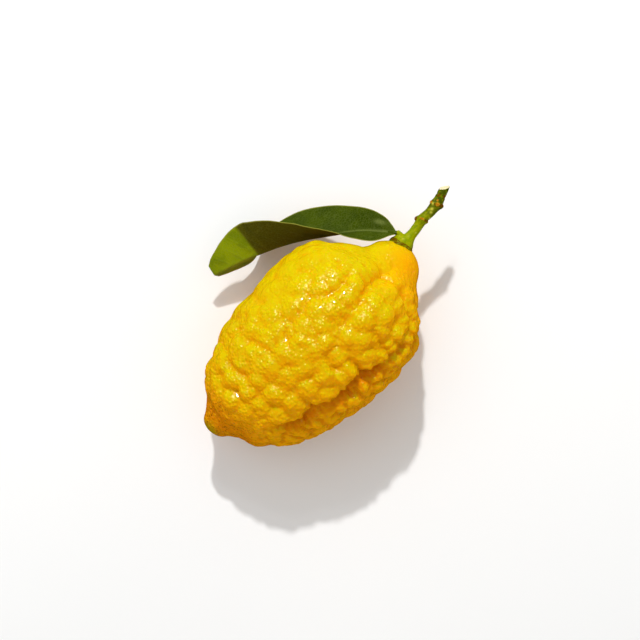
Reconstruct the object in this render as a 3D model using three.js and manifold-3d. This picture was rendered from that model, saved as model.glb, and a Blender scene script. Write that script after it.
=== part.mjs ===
// A whole citron lying on its side, with the woody stem it was cut with and one folded leaf.
//
// Frame, in millimetres: the fruit's long axis runs along X, blossom end at -X and stem end at +X,
// +Z is up, and the origin is the middle of the flat spot that the fruit rests on.
import * as THREE from "three";
import { mergeVertices } from "three/addons/utils/BufferGeometryUtils.js";
import Module from "manifold-3d";

const wasm = await Module();
wasm.setup();

// ---------------------------------------------------------------- driving dimensions: the fruit

const BLOSSOM_TIP = -66.2; // x of the fruit's two ends
const STEM_END = 64.5;
const AXIS_HEIGHT = 36.5; // height of the fruit's axis above the table, at x = 0
const AXIS_TILT = 0.068; // the stem end lies a little higher than the blossom end
const TOP_SHARE = 0.96; // height over width, above the axis and below it
const UNDER_SHARE = 0.945;
const REST = { flat: 7, smooth: 22 }; // no relief within `flat` of the resting spot, all of it past `smooth`
const BLOSSOM_FADE = 12; // the relief grows from nothing over this length at the blossom end
const SKIN_DROP = 0.7; // the hollows between knobs lie this far below the smooth body

// [x, half width] of the body seen from above, without its knobs
const OUTLINE = [
  [-65.2, 4.4], [-62, 7.8], [-58, 12], [-54, 17.4], [-48, 23.4], [-40, 28.5], [-30, 32.5], [-15, 36.9],
  [0, 38.9], [15, 39.1], [27, 37.6], [33, 35.2], [40, 29.2], [46, 22.8], [50, 18.9], [54, 15.4],
  [58, 12.5], [61, 9.6], [63.5, 5.2],
];
// [x, y] of the middle of the body seen from above
const MIDLINE = [
  [-66, 3], [-60, 2.2], [-54, 1], [-46, 0], [-5, -0.5], [17, 0], [34, -0.2], [46, -1.5],
  [50, -1.9], [55, 0.6], [60, 0.6], [64, 0.5],
];

const OUTLINE_EDGE = 0.98; // places seen from above lie within this share of the half width

// [x, y, radius, height] of the knobs on the upper side, as seen from above
const UPPER_KNOBS = [
  [-47.5, 6.5, 5.6, 2.6], [-48, 17.5, 6, 1.6], [-38.5, 22.5, 6.2, 1.9], [-27.5, 23, 6.6, 1.9],
  [-40.5, 13.5, 5.8, 1.6], [-32, 16, 5.2, 1.5], [-24.5, 15.5, 5.6, 1.7], [-16, 25.5, 6.4, 1.6],
  [-15.5, 16.5, 6, 1.6], [-35, 29, 6.2, 1.4], [-7, 14.5, 5.6, 1.5], [-5, 24.5, 7, 1.6],
  [-38.5, 3, 5, 1.8], [-31.5, 5, 4.8, 1.6], [-22.5, 5.5, 5.8, 1.6], [-13.5, 5, 5.6, 1.7],
  [-5, 4, 5.2, 2.1], [-45.5, -4.5, 5.8, 1.6], [-38.5, -6, 5.2, 1.8], [-29.5, -6.5, 5.8, 1.8],
  [-20, -5, 5.2, 1.5], [-12.5, -6, 5.4, 1.8], [-44, -13, 6, 1.5], [-35.5, -14, 5.8, 2],
  [-26.5, -15, 6, 2.2], [-16.5, -15, 5.8, 2.1], [-7, -15.5, 5.6, 2.3], [-1, -21, 5.4, 2.2],
  [-12, -21.5, 5.4, 2], [4, -4, 5.6, 2.2], [4.5, 19.5, 6.6, 1.8], [12.5, 24.5, 7, 1.6],
  [18.5, 16.5, 4.8, 1.7], [27, 18, 8.6, 1.6], [35, 24.5, 7.6, 1.7], [2, 9, 5.4, 1.7],
  [10.5, 11, 5.6, 2], [18, 6.5, 6, 2.3], [26, 6, 5.6, 2.1], [33, 7, 5.6, 2.2],
  [42.5, 9, 7.6, 1.7], [24, -7.5, 6.8, 2.6], [13, -9, 5.8, 2.2], [33.5, -5.5, 6.2, 2.4],
  [41.5, -6.5, 7, 2.6], [33, -13.5, 6.6, 2.1], [49, -4.5, 6, 1.6], [16.5, -15, 6.6, 2],
  [26, -18, 5, 1.5], [40.5, -15, 6, 1.8], [48, -15, 4.6, 1.4], [44, -21.5, 5, 1.5],
  [37.5, -22, 4.4, 1.6], [31.5, -24, 4.4, 1.6], [24.5, -25.5, 3.8, 1.5], [13, -22.5, 6.2, 2.1],
  [4, -21, 5.2, 2.1], [4, -12.5, 5.4, 1.5], [-46, -20.5, 6, 1.2], [-36, -26, 5.4, 1.6],
  [-26, -29.5, 4.8, 2], [-18.5, -32, 5, 2.1], [-11.5, -31, 4.2, 2], [-5, -33, 4.8, 2.6],
  [2, -31, 4, 2.4], [8, -35.5, 4.6, 2.3], [12, -32, 3.8, 1.8], [17.5, -34.5, 4.4, 2],
  [23, -32, 4.2, 1.8], [29, -32, 4.4, 1.9], [34, -29.5, 4.2, 1.8], [39, -27, 4.4, 1.7],
  [2, 33, 7, 1.5], [14, 34, 7, 1.5], [25, 30.5, 7.4, 1.5], [-12, 34, 6.6, 1.4], [-24, 31, 5.6, 1.3],
];
const KNOB_SPREAD = 1.1; // a knob's foot reaches this many times its radius
const KNOB_ROUNDING = 0.6; // the creases where knobs meet are rounded over this height
// The rest of the skin has knobs of the same kind, in rows round the fruit.
const HIDDEN_ROWS = {
  from: -52, to: 46, step: 8.6, radius: 6.4, height: 1.5, apart: 0.95,
  unevenTurn: 0.9, unevenX: 7, unevenRadius: 0.5,
};

// [x, y, depth] of the grooves that run along the upper side, as seen from above
const LONG_GROOVE = [
  [55, 0.5, 0.4], [49, 0.6, 1.4], [42, 1.8, 2.8], [36, 1.5, 2.6], [30, -1, 2.2],
  [22, -2.4, 1.8], [14, -3.8, 1.7], [7, -7.5, 1.6], [0, -9.5, 1.2],
];
const SECOND_GROOVE = [
  [38, 13, 0.8], [32, 11.8, 1.8], [26, 10.6, 2], [20, 12, 1.9], [14, 16, 1.5],
  [6, 14.4, 1.6], [-2, 12.8, 1.2], [-9, 11, 0.8],
];
const DEEP_GROOVE = [
  [-46, -14, 0.6], [-41, -17, 1.6], [-34, -21.5, 3], [-28, -23.6, 3.6], [-20, -23, 1.8],
  [-13, -26, 2.4], [-4, -27.2, 3.2], [4, -27, 3.8], [9, -28.2, 4.2], [16, -29.5, 2.8],
  [24, -29.5, 1.6], [32, -29, 0.8],
];
// [x, degrees from the top, depth] of the grooves on the sides and underneath
const HIDDEN_GROOVES = [
  [[48, 98, 1.2], [34, 94, 2.2], [16, 98, 1.8], [0, 95, 1]],
  [[46, 130, 1.2], [30, 126, 2.6], [12, 130, 2.4], [-8, 124, 1.4]],
  [[50, 158, 1], [38, 152, 2.2], [24, 150, 1.6]],
  [[48, -84, 1.2], [34, -80, 2.4], [14, -84, 2.2], [-6, -80, 2.2], [-26, -84, 1.4]],
  [[46, -122, 1.2], [30, -126, 2.4], [8, -120, 2.4], [-16, -124, 1.6]],
  [[-12, 98, 1.2], [-26, 102, 2], [-40, 98, 1.4]],
  [[-14, 138, 1.4], [-30, 142, 2.2], [-44, 136, 1.4]],
];
// A groove is a narrow cut in the bottom of a wide valley. Both wander a little.
const GROOVE_CUT = { width: 1.6, share: 0.55 };
const GROOVE_VALLEY = { width: 5.5, share: 0.6 };
const GROOVE_ENDS = 3; // a groove fades in and out over twice this length
const GROOVE_WOBBLE = { reach: 0.5, slow: 1.3, quick: 2.1, twist: 4 };
// The upper edge of the deep groove stands proud of it, and its valley is narrower.
const LIP = { rise: 0.32, width: 3, reach: 3.6, narrower: 2.2 };
// [y, x, depth] of the creases that run across the upper side, as seen from above
const CREASES = [
  [[-8, -0.5, 1], [-14, -1.5, 1.8], [-19, 0.8, 1]],
  [[-16, 6, 1], [-21, 7.2, 2.2], [-27, 7, 2.4]],
  [[-14, 24, 1], [-19, 23.4, 1.8], [-27, 21.4, 1.4]],
  [[21, -36.5, 0.8], [14, -35.2, 1.5], [8, -34, 0.9]],
  [[21, -20.5, 0.8], [15, -19, 1.4], [8, -17, 0.8]],
  [[-16, -21.4, 0.9], [-20, -20.8, 1.8], [-24, -19.4, 1]],
  [[4, -43.2, 1], [8, -42.6, 1.4], [13, -44.5, 0.8]],
  [[-10, 46.5, 0.8], [-14.5, 44.4, 1.6], [-19, 40.5, 1.4]],
];
const CREASE_WIDTH = 1.5;
const CREASE_ENDS = 2.5;

// Small rounded warts sit all over the knobs, of uneven heights and a little longer along the fruit.
const WARTS = { size: 4.7, height: 1.3, softness: 10, uneven: 0.4, stretch: 1.2, bend: 1.1, level: 0.8 };
// The warts are higher in some patches of the skin than in others.
const PATCHES = { size: 16, softness: 5, bend: 2, low: 0.65, rise: 0.5, from: 0.45, to: 0.95 };
// The peel is sleeker beside the leaf and on the neck: the knobs and warts are lower there by these shares.
const SLEEK_SIDE = { slant: 0.6, from: -10, to: 18, edge: [-16, -2], knobs: 0.3, warts: 0.4 };
const SLEEK_NECK = { from: 44, to: 56, knobs: 0.6, warts: 0.65 };
const FRUIT_DETAIL = 22; // cuts along each edge of the icosahedron that the fruit starts from

// ---------------------------------------------------------------- driving dimensions: stem and leaf

const CLEARANCE = 0.3; // clear space between parts that grow on each other
// [x, y, z, radius] along the stem, from the calyx on the fruit to the cut end
const STEM = [
  [59, 4.3, 40.4, 5.8], [61.6, 5, 40.7, 5.9], [63.6, 5.3, 41, 5.3], [65.4, 5.4, 41.2, 4.1],
  [67.2, 5.6, 41.3, 3], [69, 5.9, 41.5, 2.5], [72.1, 6.4, 41.8, 2.4], [75.4, 7.2, 42.1, 2.45],
  [77.4, 7.8, 42.4, 2.75], [79.2, 7.9, 42.6, 2.45], [82.3, 7.8, 42.9, 2.4], [85, 8.1, 43.1, 2.6],
  [87.4, 8.5, 43.3, 2.95], [89, 9, 43.5, 2.7], [91, 9.7, 43.8, 2.3], [93, 10.6, 44.1, 2.3],
  [95, 11.4, 44.4, 2.2], [99, 13.4, 45, 2.1],
];
const STEM_SIDES = 18;
const STEM_RINGS = 34;
const KNOT_DETAIL = 2;
const CALYX_LOBES = { count: 5, depth: 0.09, turn: 0.6, from: 62, upTo: 66.5 };
const CUT = { point: [95.7, 11.6, 44.4], normal: [0.49, 0.775, 0.4] }; // the slanted cut that ends the stem
// [x, y, z, radius] of the buds and corky leaf scars on the stem
const STEM_KNOTS = [
  [76.1, 9.7, 42.3, 1.2], [78.2, 6.2, 42.7, 1.2], [77.7, 8.2, 44.6, 0.8], [86.5, 10.3, 43.7, 1.2],
  [88.2, 6.8, 43.5, 1.6], [87.8, 8.1, 45.3, 1.3], [90.8, 10.4, 45.3, 1], [64.2, 8.8, 41.6, 2.3],
  [65.2, 10.9, 43.2, 1],
];

const LEAF_THICKNESS = 0.7;
const RIB = { depth: 0.7, width: 1.1, taper: 0.7 }; // the midrib stands out under the blade, less by the tip
// [x, y, z] of the midrib, from the end of its stalk to the tip
const MIDRIB = [
  [63.6, 12.2, 42.5], [62.2, 14.2, 41.4], [59, 18, 38.4], [54.3, 22.9, 34.4], [48.9, 27.3, 30.6],
  [42.3, 32, 27.6], [38.4, 34.6, 26.4], [32.2, 38.7, 24.9], [27.3, 41.6, 24.2], [20.9, 44.9, 23.4],
  [14.5, 47.7, 22.8], [9.5, 49.7, 22.2], [4.1, 52, 21.5], [-1.8, 54, 20.4], [-6.1, 55.3, 19.4],
  [-10.5, 56.5, 18.4], [-13.6, 57.4, 17.6],
];
// [share of the length, half width, angle of the half blade beside the fruit, angle between the two halves]
const BLADE = [
  [0, 1.4, 50, 132], [0.05, 6, 44, 139], [0.1, 8.6, 50, 136], [0.17, 11.2, 66, 130],
  [0.25, 13.8, 83, 123], [0.33, 16.2, 93, 118], [0.41, 18.2, 99, 118], [0.48, 19.6, 105, 118],
  [0.56, 20.4, 114, 117], [0.62, 20.8, 122, 115], [0.68, 20.8, 130, 114], [0.73, 20.2, 138, 116],
  [0.77, 18.8, 147, 119], [0.82, 16.6, 153, 121], [0.88, 13.6, 155, 122], [0.93, 10.6, 155, 123],
  [0.97, 7.6, 154, 123], [1, 3.2, 154, 123],
];
const BLADE_ROWS = 46;
const BLADE_SHARES = [-1, -0.8, -0.6, -0.4, -0.22, -0.1, -0.04, 0, 0.04, 0.1, 0.22, 0.4, 0.6, 0.8, 1];
const BLADE_STEPS = 12; // a half blade is walked outwards in this many steps
const FOLD_WIDTH = 1.6; // the fold along the midrib is rounded over this width
const CUP = 0.45; // degrees that a half blade curls inward in each millimetre
// [x, y, z, radius] along the leaf's stalk
const STALK = [
  [65.4, 8.6, 41.9, 1.2], [65.2, 10, 42.3, 1.1], [64.6, 11.2, 42.5, 1], [63.6, 12.4, 42.3, 0.95],
  [62, 14.4, 41.1, 0.85],
];
const STALK_SIDES = 12;
const STALK_RINGS = 12;

const FINISHES = {
  fruit: { color: 0xf2bd0a, roughness: 0.35 },
  stem: { color: 0x7f9a10, roughness: 0.6 },
  leaf: { color: 0x3c5414, roughness: 0.45 },
};

// ---------------------------------------------------------------- curves and noise

const clamp = (value, low, high) => Math.min(high, Math.max(low, value));
const ease = (value) => value * value * (3 - 2 * value);
const fade = (value, from, to) => ease(clamp((value - from) / (to - from), 0, 1));
const radians = THREE.MathUtils.degToRad;
const bell = (distance, width) => Math.exp(-((distance / width) ** 2));
const within = (value, [low, high], edge) =>
  fade(value, low - edge, low + edge) * (1 - fade(value, high - edge, high + edge));

// A smooth curve through rows of [key, value, ...], held level past its ends.
function through(rows) {
  const table = rows[0][0] < rows.at(-1)[0] ? rows : [...rows].reverse();
  const last = table.length - 1;
  const slope = (i, k) => {
    const before = table[Math.max(i - 1, 0)];
    const after = table[Math.min(i + 1, last)];
    return (after[k] - before[k]) / (after[0] - before[0]);
  };
  return (key) => {
    const at = clamp(key, table[0][0], table[last][0]);
    const i = clamp(table.findIndex((row) => row[0] >= at) - 1, 0, last - 1);
    const gap = table[i + 1][0] - table[i][0];
    const t = (at - table[i][0]) / gap;
    const t2 = t * t;
    const t3 = t * t2;
    return table[i].slice(1).map((value, column) => {
      const k = column + 1;
      return (2 * t3 - 3 * t2 + 1) * value + (t3 - 2 * t2 + t) * gap * slope(i, k)
        + (3 * t2 - 2 * t3) * table[i + 1][k] + (t3 - t2) * gap * slope(i + 1, k);
    });
  };
}

// A number from 0 to 1 that looks random and is always the same for the same whole numbers.
function chance(i, j, k, seed) {
  const wave = Math.sin(i * 127.1 + j * 311.7 + k * 74.7 + seed * 53.3) * 43758.5453;
  return wave - Math.floor(wave);
}

// Rounded domes packed side by side: 1 on top of a dome, falling towards 0 where it meets its
// neighbours. Uneven domes rise up to 1 + uneven.
function domes({ x, y, z }, size, softness, seed, uneven = 0) {
  const [u, v, w] = [x / size, y / size, z / size];
  const [i0, j0, k0] = [Math.floor(u), Math.floor(v), Math.floor(w)];
  let sum = 0;
  for (let i = i0 - 1; i <= i0 + 1; i++) {
    for (let j = j0 - 1; j <= j0 + 1; j++) {
      for (let k = k0 - 1; k <= k0 + 1; k++) {
        const away = (i + chance(i, j, k, seed) - u) ** 2
          + (j + chance(i, j, k, seed + 1) - v) ** 2 + (k + chance(i, j, k, seed + 2) - w) ** 2;
        sum += Math.exp(softness * (uneven * chance(i, j, k, seed + 3) - away));
      }
    }
  }
  return 1 + Math.log(sum + 1e-9) / softness;
}

// The same domes with broader tops and steeper sides.
const pillow = (dome) => 1 - Math.max(1 - dome, 0) ** 1.5;

// A point moved a little out of line, and closer together round the fruit, so domes come out longer.
function bent({ x, y, z }, amount, stretch = 1) {
  return new THREE.Vector3(
    x + amount * Math.sin(y / 4),
    (y + amount * Math.sin(z / 5 + 1)) / stretch,
    (z + amount * Math.sin(x / 4 + 2)) / stretch,
  );
}

// The higher of two heights, with the corner between them rounded.
function blendMax(a, b, rounding) {
  const meet = Math.max(rounding - Math.abs(a - b), 0) / rounding;
  return Math.max(a, b) + (meet * meet * rounding) / 4;
}

// ---------------------------------------------------------------- the fruit's smooth body

const middle = (BLOSSOM_TIP + STEM_END) / 2;
const halfLength = (STEM_END - BLOSSOM_TIP) / 2;
const ellipse = (x) => Math.sqrt(Math.max(1 - ((x - middle) / halfLength) ** 2, 0));
const fullness = through(OUTLINE.map(([x, half]) => [x, half / ellipse(x)]));
const midline = through(MIDLINE);
const halfWidth = (x) => fullness(x)[0] * ellipse(x);

// The smooth body's point at x and at an angle from the top, which grows towards +Y.
function bodyPoint(x, turn, half = halfWidth(x)) {
  const share = THREE.MathUtils.lerp(UNDER_SHARE, TOP_SHARE, ease((1 + Math.cos(turn)) / 2));
  const side = midline(x)[0] + half * Math.sin(turn);
  return new THREE.Vector3(x, side, AXIS_HEIGHT + AXIS_TILT * x + share * half * Math.cos(turn));
}

// The smooth body's point in a direction from its middle.
function bodyTowards(direction) {
  const x = middle + halfLength * direction.x;
  const turn = Math.atan2(direction.y, direction.z);
  return bodyPoint(x, turn, fullness(x)[0] * Math.hypot(direction.y, direction.z));
}

// A place seen from above, as an angle from the top. It is kept just inside the outline.
const turnAt = (x, y) => Math.asin(clamp((y - midline(x)[0]) / halfWidth(x), -OUTLINE_EDGE, OUTLINE_EDGE));

// ---------------------------------------------------------------- the fruit's skin

function makeKnobs() {
  const knobs = UPPER_KNOBS.map(([x, y, radius, height]) => {
    const at = bodyPoint(x, turnAt(x, y));
    return { at, radius, height };
  });
  const { from, to, step, radius, height, apart, unevenTurn, unevenX, unevenRadius } = HIDDEN_ROWS;
  const rowCount = Math.floor((to - from) / step) + 1;
  for (let row = 0; row < rowCount; row++) {
    const x = from + row * step;
    const count = Math.round((2 * Math.PI * halfWidth(x)) / step);
    for (let i = 0; i < count; i++) {
      const place = i + 0.5 * (row % 2) + unevenTurn * chance(row, i, 0, 5);
      const at = bodyPoint(x + unevenX * (chance(row, i, 1, 5) - 0.5), (place / count) * 2 * Math.PI);
      if (knobs.every((knob) => knob.at.distanceTo(at) > apart * knob.radius)) {
        const share = 1 + unevenRadius * (chance(row, i, 2, 5) - 0.5);
        knobs.push({ at, radius: radius * share, height });
      }
    }
  }
  return knobs;
}

// Grooves become curves of [angle, depth] over x, and creases become curves of [x, depth] over the angle.
function grooveOf(rows, lip = 0) {
  const keys = rows.map((row) => row[0]);
  return { curve: through(rows), ends: [Math.min(...keys), Math.max(...keys)], lip };
}

const upperGroove = (rows) => rows.map(([x, y, depth]) => [x, turnAt(x, y), depth]);
const hiddenGroove = (rows) => rows.map(([x, degrees, depth]) => [x, radians(degrees), depth]);
const upperCrease = (rows) => rows.map(([y, x, depth]) => [turnAt(x, y), x, depth]);
const grooves = [
  grooveOf(upperGroove(LONG_GROOVE)),
  grooveOf(upperGroove(SECOND_GROOVE)),
  grooveOf(upperGroove(DEEP_GROOVE), 1),
  ...HIDDEN_GROOVES.map((rows) => grooveOf(hiddenGroove(rows))),
];
const creases = CREASES.map((rows) => grooveOf(upperCrease(rows)));
const knobs = makeKnobs();

// How far a place on the skin lies from a groove, measured square to it.
function acrossGroove(curve, x, turn, half) {
  const { reach, slow, quick, twist } = GROOVE_WOBBLE;
  const wobble = reach * (Math.sin(x * slow) + Math.sin(x * quick + twist * turn));
  const off = turn - curve(x)[0] + wobble / half;
  const lean = half * (curve(x + 0.5)[0] - curve(x - 0.5)[0]);
  return (Math.atan2(Math.sin(off), Math.cos(off)) * half) / Math.hypot(1, lean);
}

function grooveDepth(x, turn, half) {
  let depth = 0;
  for (const { curve, ends, lip } of grooves) {
    const across = acrossGroove(curve, x, turn, half);
    const cut = GROOVE_CUT.share * bell(across, GROOVE_CUT.width);
    const valley = GROOVE_VALLEY.share * bell(across, GROOVE_VALLEY.width - LIP.narrower * lip);
    const raised = lip * LIP.rise * bell(across - LIP.reach, LIP.width);
    depth += within(x, ends, GROOVE_ENDS) * curve(x)[1] * (cut + valley - raised);
  }
  for (const { curve, ends } of creases) {
    const [centre, deep] = curve(turn);
    depth += within(turn, ends, CREASE_ENDS / half) * deep * bell(x - centre, CREASE_WIDTH);
  }
  return depth;
}

function knobHeight(point) {
  let height = 0;
  for (const { at, radius, height: top } of knobs) {
    const dome = top * (1 - at.distanceToSquared(point) / (KNOB_SPREAD * radius) ** 2);
    height = blendMax(height, dome, KNOB_ROUNDING);
  }
  return height;
}

function wartHeight(point) {
  const place = bent(point, WARTS.bend, WARTS.stretch);
  const dome = domes(place, WARTS.size, WARTS.softness, 11, WARTS.uneven) - WARTS.uneven / 2;
  const patch = domes(bent(point, PATCHES.bend), PATCHES.size, PATCHES.softness, 57);
  const strength = PATCHES.low + PATCHES.rise * fade(patch, PATCHES.from, PATCHES.to);
  return strength * WARTS.height * (pillow(dome) - WARTS.level);
}

const STEP_ASIDE = 1e-3; // the normal comes from two neighbours this far away on the unit sphere

// How far the skin stands above the smooth body.
function relief(point, turn) {
  const { x, y } = point;
  const neck = fade(x, SLEEK_NECK.from, SLEEK_NECK.to);
  const side = fade(x + SLEEK_SIDE.slant * y, SLEEK_SIDE.from, SLEEK_SIDE.to) * fade(y, ...SLEEK_SIDE.edge);
  const knob = knobHeight(point) * (1 - SLEEK_SIDE.knobs * side) * (1 - SLEEK_NECK.knobs * neck);
  const wart = wartHeight(point) * (1 - SLEEK_SIDE.warts * side) * (1 - SLEEK_NECK.warts * neck);
  const rise = knob + wart - SKIN_DROP - grooveDepth(x, turn, halfWidth(x));
  const calm = fade(x, BLOSSOM_TIP, BLOSSOM_TIP + BLOSSOM_FADE);
  return rise * calm * fade(point.length(), REST.flat, REST.smooth);
}

// The skin's point in a direction from the fruit's middle, moved out along the smooth body's normal.
function skinPoint(direction, proud) {
  const yAxis = new THREE.Vector3(0, 1, 0);
  const zAxis = new THREE.Vector3(0, 0, 1);
  const side = Math.abs(direction.y) < 0.95 ? yAxis : zAxis;
  const a = side.cross(direction).normalize().multiplyScalar(STEP_ASIDE);
  const b = direction.clone().cross(a);
  const point = bodyTowards(direction);
  const along = bodyTowards(direction.clone().add(a).normalize()).sub(point);
  const across = bodyTowards(direction.clone().add(b).normalize()).sub(point);
  const normal = along.cross(across).normalize();
  const height = relief(point, Math.atan2(direction.y, direction.z));
  return point.clone().addScaledVector(normal, height + proud);
}

// ---------------------------------------------------------------- solids

const SAME_PLACE = 1e-4; // points nearer than this are one point

function solidFrom(geometry) {
  const bare = geometry.clone();
  bare.deleteAttribute("normal");
  bare.deleteAttribute("uv");
  const merged = mergeVertices(bare, SAME_PLACE);
  return new wasm.Manifold(new wasm.Mesh({
    numProp: 3,
    vertProperties: new Float32Array(merged.attributes.position.array),
    triVerts: new Uint32Array(merged.index.array),
  }));
}

function solidOfFaces(vertices, faces) {
  const places = vertices.flatMap((vertex) => vertex.toArray());
  const geometry = new THREE.BufferGeometry();
  geometry.setAttribute("position", new THREE.Float32BufferAttribute(places, 3));
  geometry.setIndex(faces.flat());
  return solidFrom(geometry);
}

function geometryFrom(solid) {
  const mesh = solid.getMesh();
  const geometry = new THREE.BufferGeometry();
  geometry.setAttribute("position", new THREE.BufferAttribute(new Float32Array(mesh.vertProperties), 3));
  geometry.setIndex(new THREE.BufferAttribute(new Uint32Array(mesh.triVerts), 1));
  geometry.computeVertexNormals();
  return geometry;
}

// A closed tube through [x, y, z, radius] rows, with its section shaped by an optional function.
function tube(rows, sides, rings, shape = () => 1) {
  const path = new THREE.CatmullRomCurve3(rows.map(([x, y, z]) => new THREE.Vector3(x, y, z)));
  const radiusAt = through(rows.map(([, , , radius], i) => [i / (rows.length - 1), radius]));
  const vertices = [];
  const faces = [];
  for (let i = 0; i <= rings; i++) {
    const centre = path.getPoint(i / rings);
    const tangent = path.getTangent(i / rings);
    const left = new THREE.Vector3(0, 0, 1).cross(tangent).normalize();
    const up = tangent.clone().cross(left);
    for (let j = 0; j < sides; j++) {
      const angle = (2 * Math.PI * j) / sides;
      const out = left.clone().multiplyScalar(Math.cos(angle)).addScaledVector(up, Math.sin(angle));
      const radius = radiusAt(i / rings)[0] * shape(centre.x, angle);
      vertices.push(centre.clone().addScaledVector(out, radius));
    }
  }
  for (let i = 0; i < rings; i++) {
    for (let j = 0; j < sides; j++) {
      const a = i * sides + j;
      const b = i * sides + ((j + 1) % sides);
      faces.push([a, b, b + sides], [a, b + sides, a + sides]);
    }
  }
  const start = vertices.push(path.getPoint(0)) - 1;
  const end = vertices.push(path.getPoint(1)) - 1;
  for (let j = 0; j < sides; j++) {
    const next = (j + 1) % sides;
    faces.push([start, next, j], [end, rings * sides + j, rings * sides + next]);
  }
  return solidOfFaces(vertices, faces);
}

// ---------------------------------------------------------------- the fruit

function fruitSolid(proud) {
  const geometry = new THREE.IcosahedronGeometry(1, FRUIT_DETAIL);
  const position = geometry.getAttribute("position");
  for (let i = 0; i < position.count; i++) {
    const direction = new THREE.Vector3().fromBufferAttribute(position, i).normalize();
    position.setXYZ(i, ...skinPoint(direction, proud).toArray());
  }
  const size = 4 * halfLength;
  const belowTable = new THREE.BoxGeometry(size, size, size).translate(0, 0, -size / 2);
  return solidFrom(geometry).subtract(solidFrom(belowTable));
}

// ---------------------------------------------------------------- the stem

// Everything past the slanted cut that ends the stem.
function pastTheCut() {
  const size = 30;
  const upward = new THREE.Vector3(0, 0, 1);
  const cutNormal = new THREE.Vector3(...CUT.normal).normalize();
  const block = new THREE.BoxGeometry(size, size, size).translate(0, 0, size / 2);
  block.applyQuaternion(new THREE.Quaternion().setFromUnitVectors(upward, cutNormal));
  return solidFrom(block.translate(...CUT.point));
}

// The stem with its calyx, whose foot follows the fruit's skin at a small clearance.
function stemSolid(proud) {
  const lobes = (x, angle) => {
    const depth = CALYX_LOBES.depth * (1 - fade(x, CALYX_LOBES.from, CALYX_LOBES.upTo));
    return 1 + depth * Math.cos(CALYX_LOBES.count * angle + CALYX_LOBES.turn);
  };
  const rows = STEM.map(([x, y, z, radius]) => [x, y, z, radius + proud]);
  let solid = tube(rows, STEM_SIDES, STEM_RINGS, lobes);
  for (const [x, y, z, radius] of STEM_KNOTS) {
    const knot = new THREE.IcosahedronGeometry(radius + proud, KNOT_DETAIL).translate(x, y, z);
    solid = solid.add(solidFrom(knot));
  }
  return solid.subtract(pastTheCut()).subtract(fruitSolid(CLEARANCE));
}

// ---------------------------------------------------------------- the leaf

// One row of points across the blade, from the edge away from the fruit to the edge beside it.
function bladeRow(path, t) {
  const [half, lean, opening] = through(BLADE)(t);
  const tangent = path.getTangentAt(t);
  const near = new THREE.Vector3(0, 0, 1).cross(tangent).normalize();
  const up = tangent.clone().cross(near);
  const angleAt = (w) => {
    const onFarHalf = 1 - ease(clamp(w / (2 * FOLD_WIDTH) + 0.5, 0, 1));
    return radians(lean - (180 - opening) * onFarHalf + CUP * w);
  };
  return BLADE_SHARES.map((share) => {
    const reach = share * half;
    const step = reach / BLADE_STEPS;
    const point = path.getPointAt(t);
    for (let i = 0; i < BLADE_STEPS; i++) {
      const angle = angleAt(step * (i + 0.5));
      point.addScaledVector(near, step * Math.cos(angle)).addScaledVector(up, step * Math.sin(angle));
    }
    const angle = angleAt(reach);
    const face = near.clone().multiplyScalar(-Math.sin(angle)).addScaledVector(up, Math.cos(angle));
    return { point, face, reach };
  });
}

// The blade as one thin solid, the same triangles on both faces, with the midrib raised underneath.
function bladeSolid() {
  const path = new THREE.CatmullRomCurve3(MIDRIB.map((place) => new THREE.Vector3(...place)));
  const columns = BLADE_SHARES.length;
  const upper = [];
  const lower = [];
  for (let i = 0; i <= BLADE_ROWS; i++) {
    const t = i / BLADE_ROWS;
    for (const { point, face, reach } of bladeRow(path, t)) {
      const rib = RIB.depth * bell(reach, RIB.width) * (1 - RIB.taper * t);
      upper.push(point.clone().addScaledVector(face, LEAF_THICKNESS / 2));
      lower.push(point.clone().addScaledVector(face, -LEAF_THICKNESS / 2 - rib));
    }
  }
  const under = upper.length;
  const faces = [];
  for (let i = 0; i < BLADE_ROWS; i++) {
    for (let j = 0; j < columns - 1; j++) {
      const a = i * columns + j;
      const c = a + columns;
      faces.push([a, c, a + 1], [a + 1, c, c + 1]);
      faces.push([a + under, a + 1 + under, c + under], [a + 1 + under, c + 1 + under, c + under]);
    }
  }
  const corner = (i, j) => i * columns + j;
  const border = [];
  for (let j = 0; j < columns - 1; j++) {
    border.push([corner(0, j), corner(0, j + 1)]);
    border.push([corner(BLADE_ROWS, j + 1), corner(BLADE_ROWS, j)]);
  }
  for (let i = 0; i < BLADE_ROWS; i++) {
    border.push([corner(i, columns - 1), corner(i + 1, columns - 1)]);
    border.push([corner(i + 1, 0), corner(i, 0)]);
  }
  for (const [a, b] of border) {
    faces.push([a, b + under, a + under], [a, b, b + under]);
  }
  return solidOfFaces([...upper, ...lower], faces);
}

function leafSolid() {
  return bladeSolid().add(tube(STALK, STALK_SIDES, STALK_RINGS)).subtract(stemSolid(CLEARANCE));
}

// ---------------------------------------------------------------- the object

function part(name, solid) {
  const material = new THREE.MeshStandardMaterial({ ...FINISHES[name], metalness: 0 });
  const mesh = new THREE.Mesh(geometryFrom(solid), material);
  mesh.name = name;
  return mesh;
}

const citron = new THREE.Group();
citron.add(part("fruit", fruitSolid(0)));
citron.add(part("stem", stemSolid(0)));
citron.add(part("leaf", leafSolid()));

export default citron;
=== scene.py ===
# %% [markdown]
# # A lumpy citron with its stem and one folded leaf
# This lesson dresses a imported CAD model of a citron. The CAD model fixes where everything is and how
# big it is. Blender adds what the eye enjoys: oil glands in the peel, corky scars on the twig, veins in
# the leaf, and the finish of each surface. Tables are in millimetres and Blender's objects in metres,
# all in the CAD model's own frame.

import math

import bmesh
import bpy
import numpy as np
from mathutils import Matrix, Vector


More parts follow.
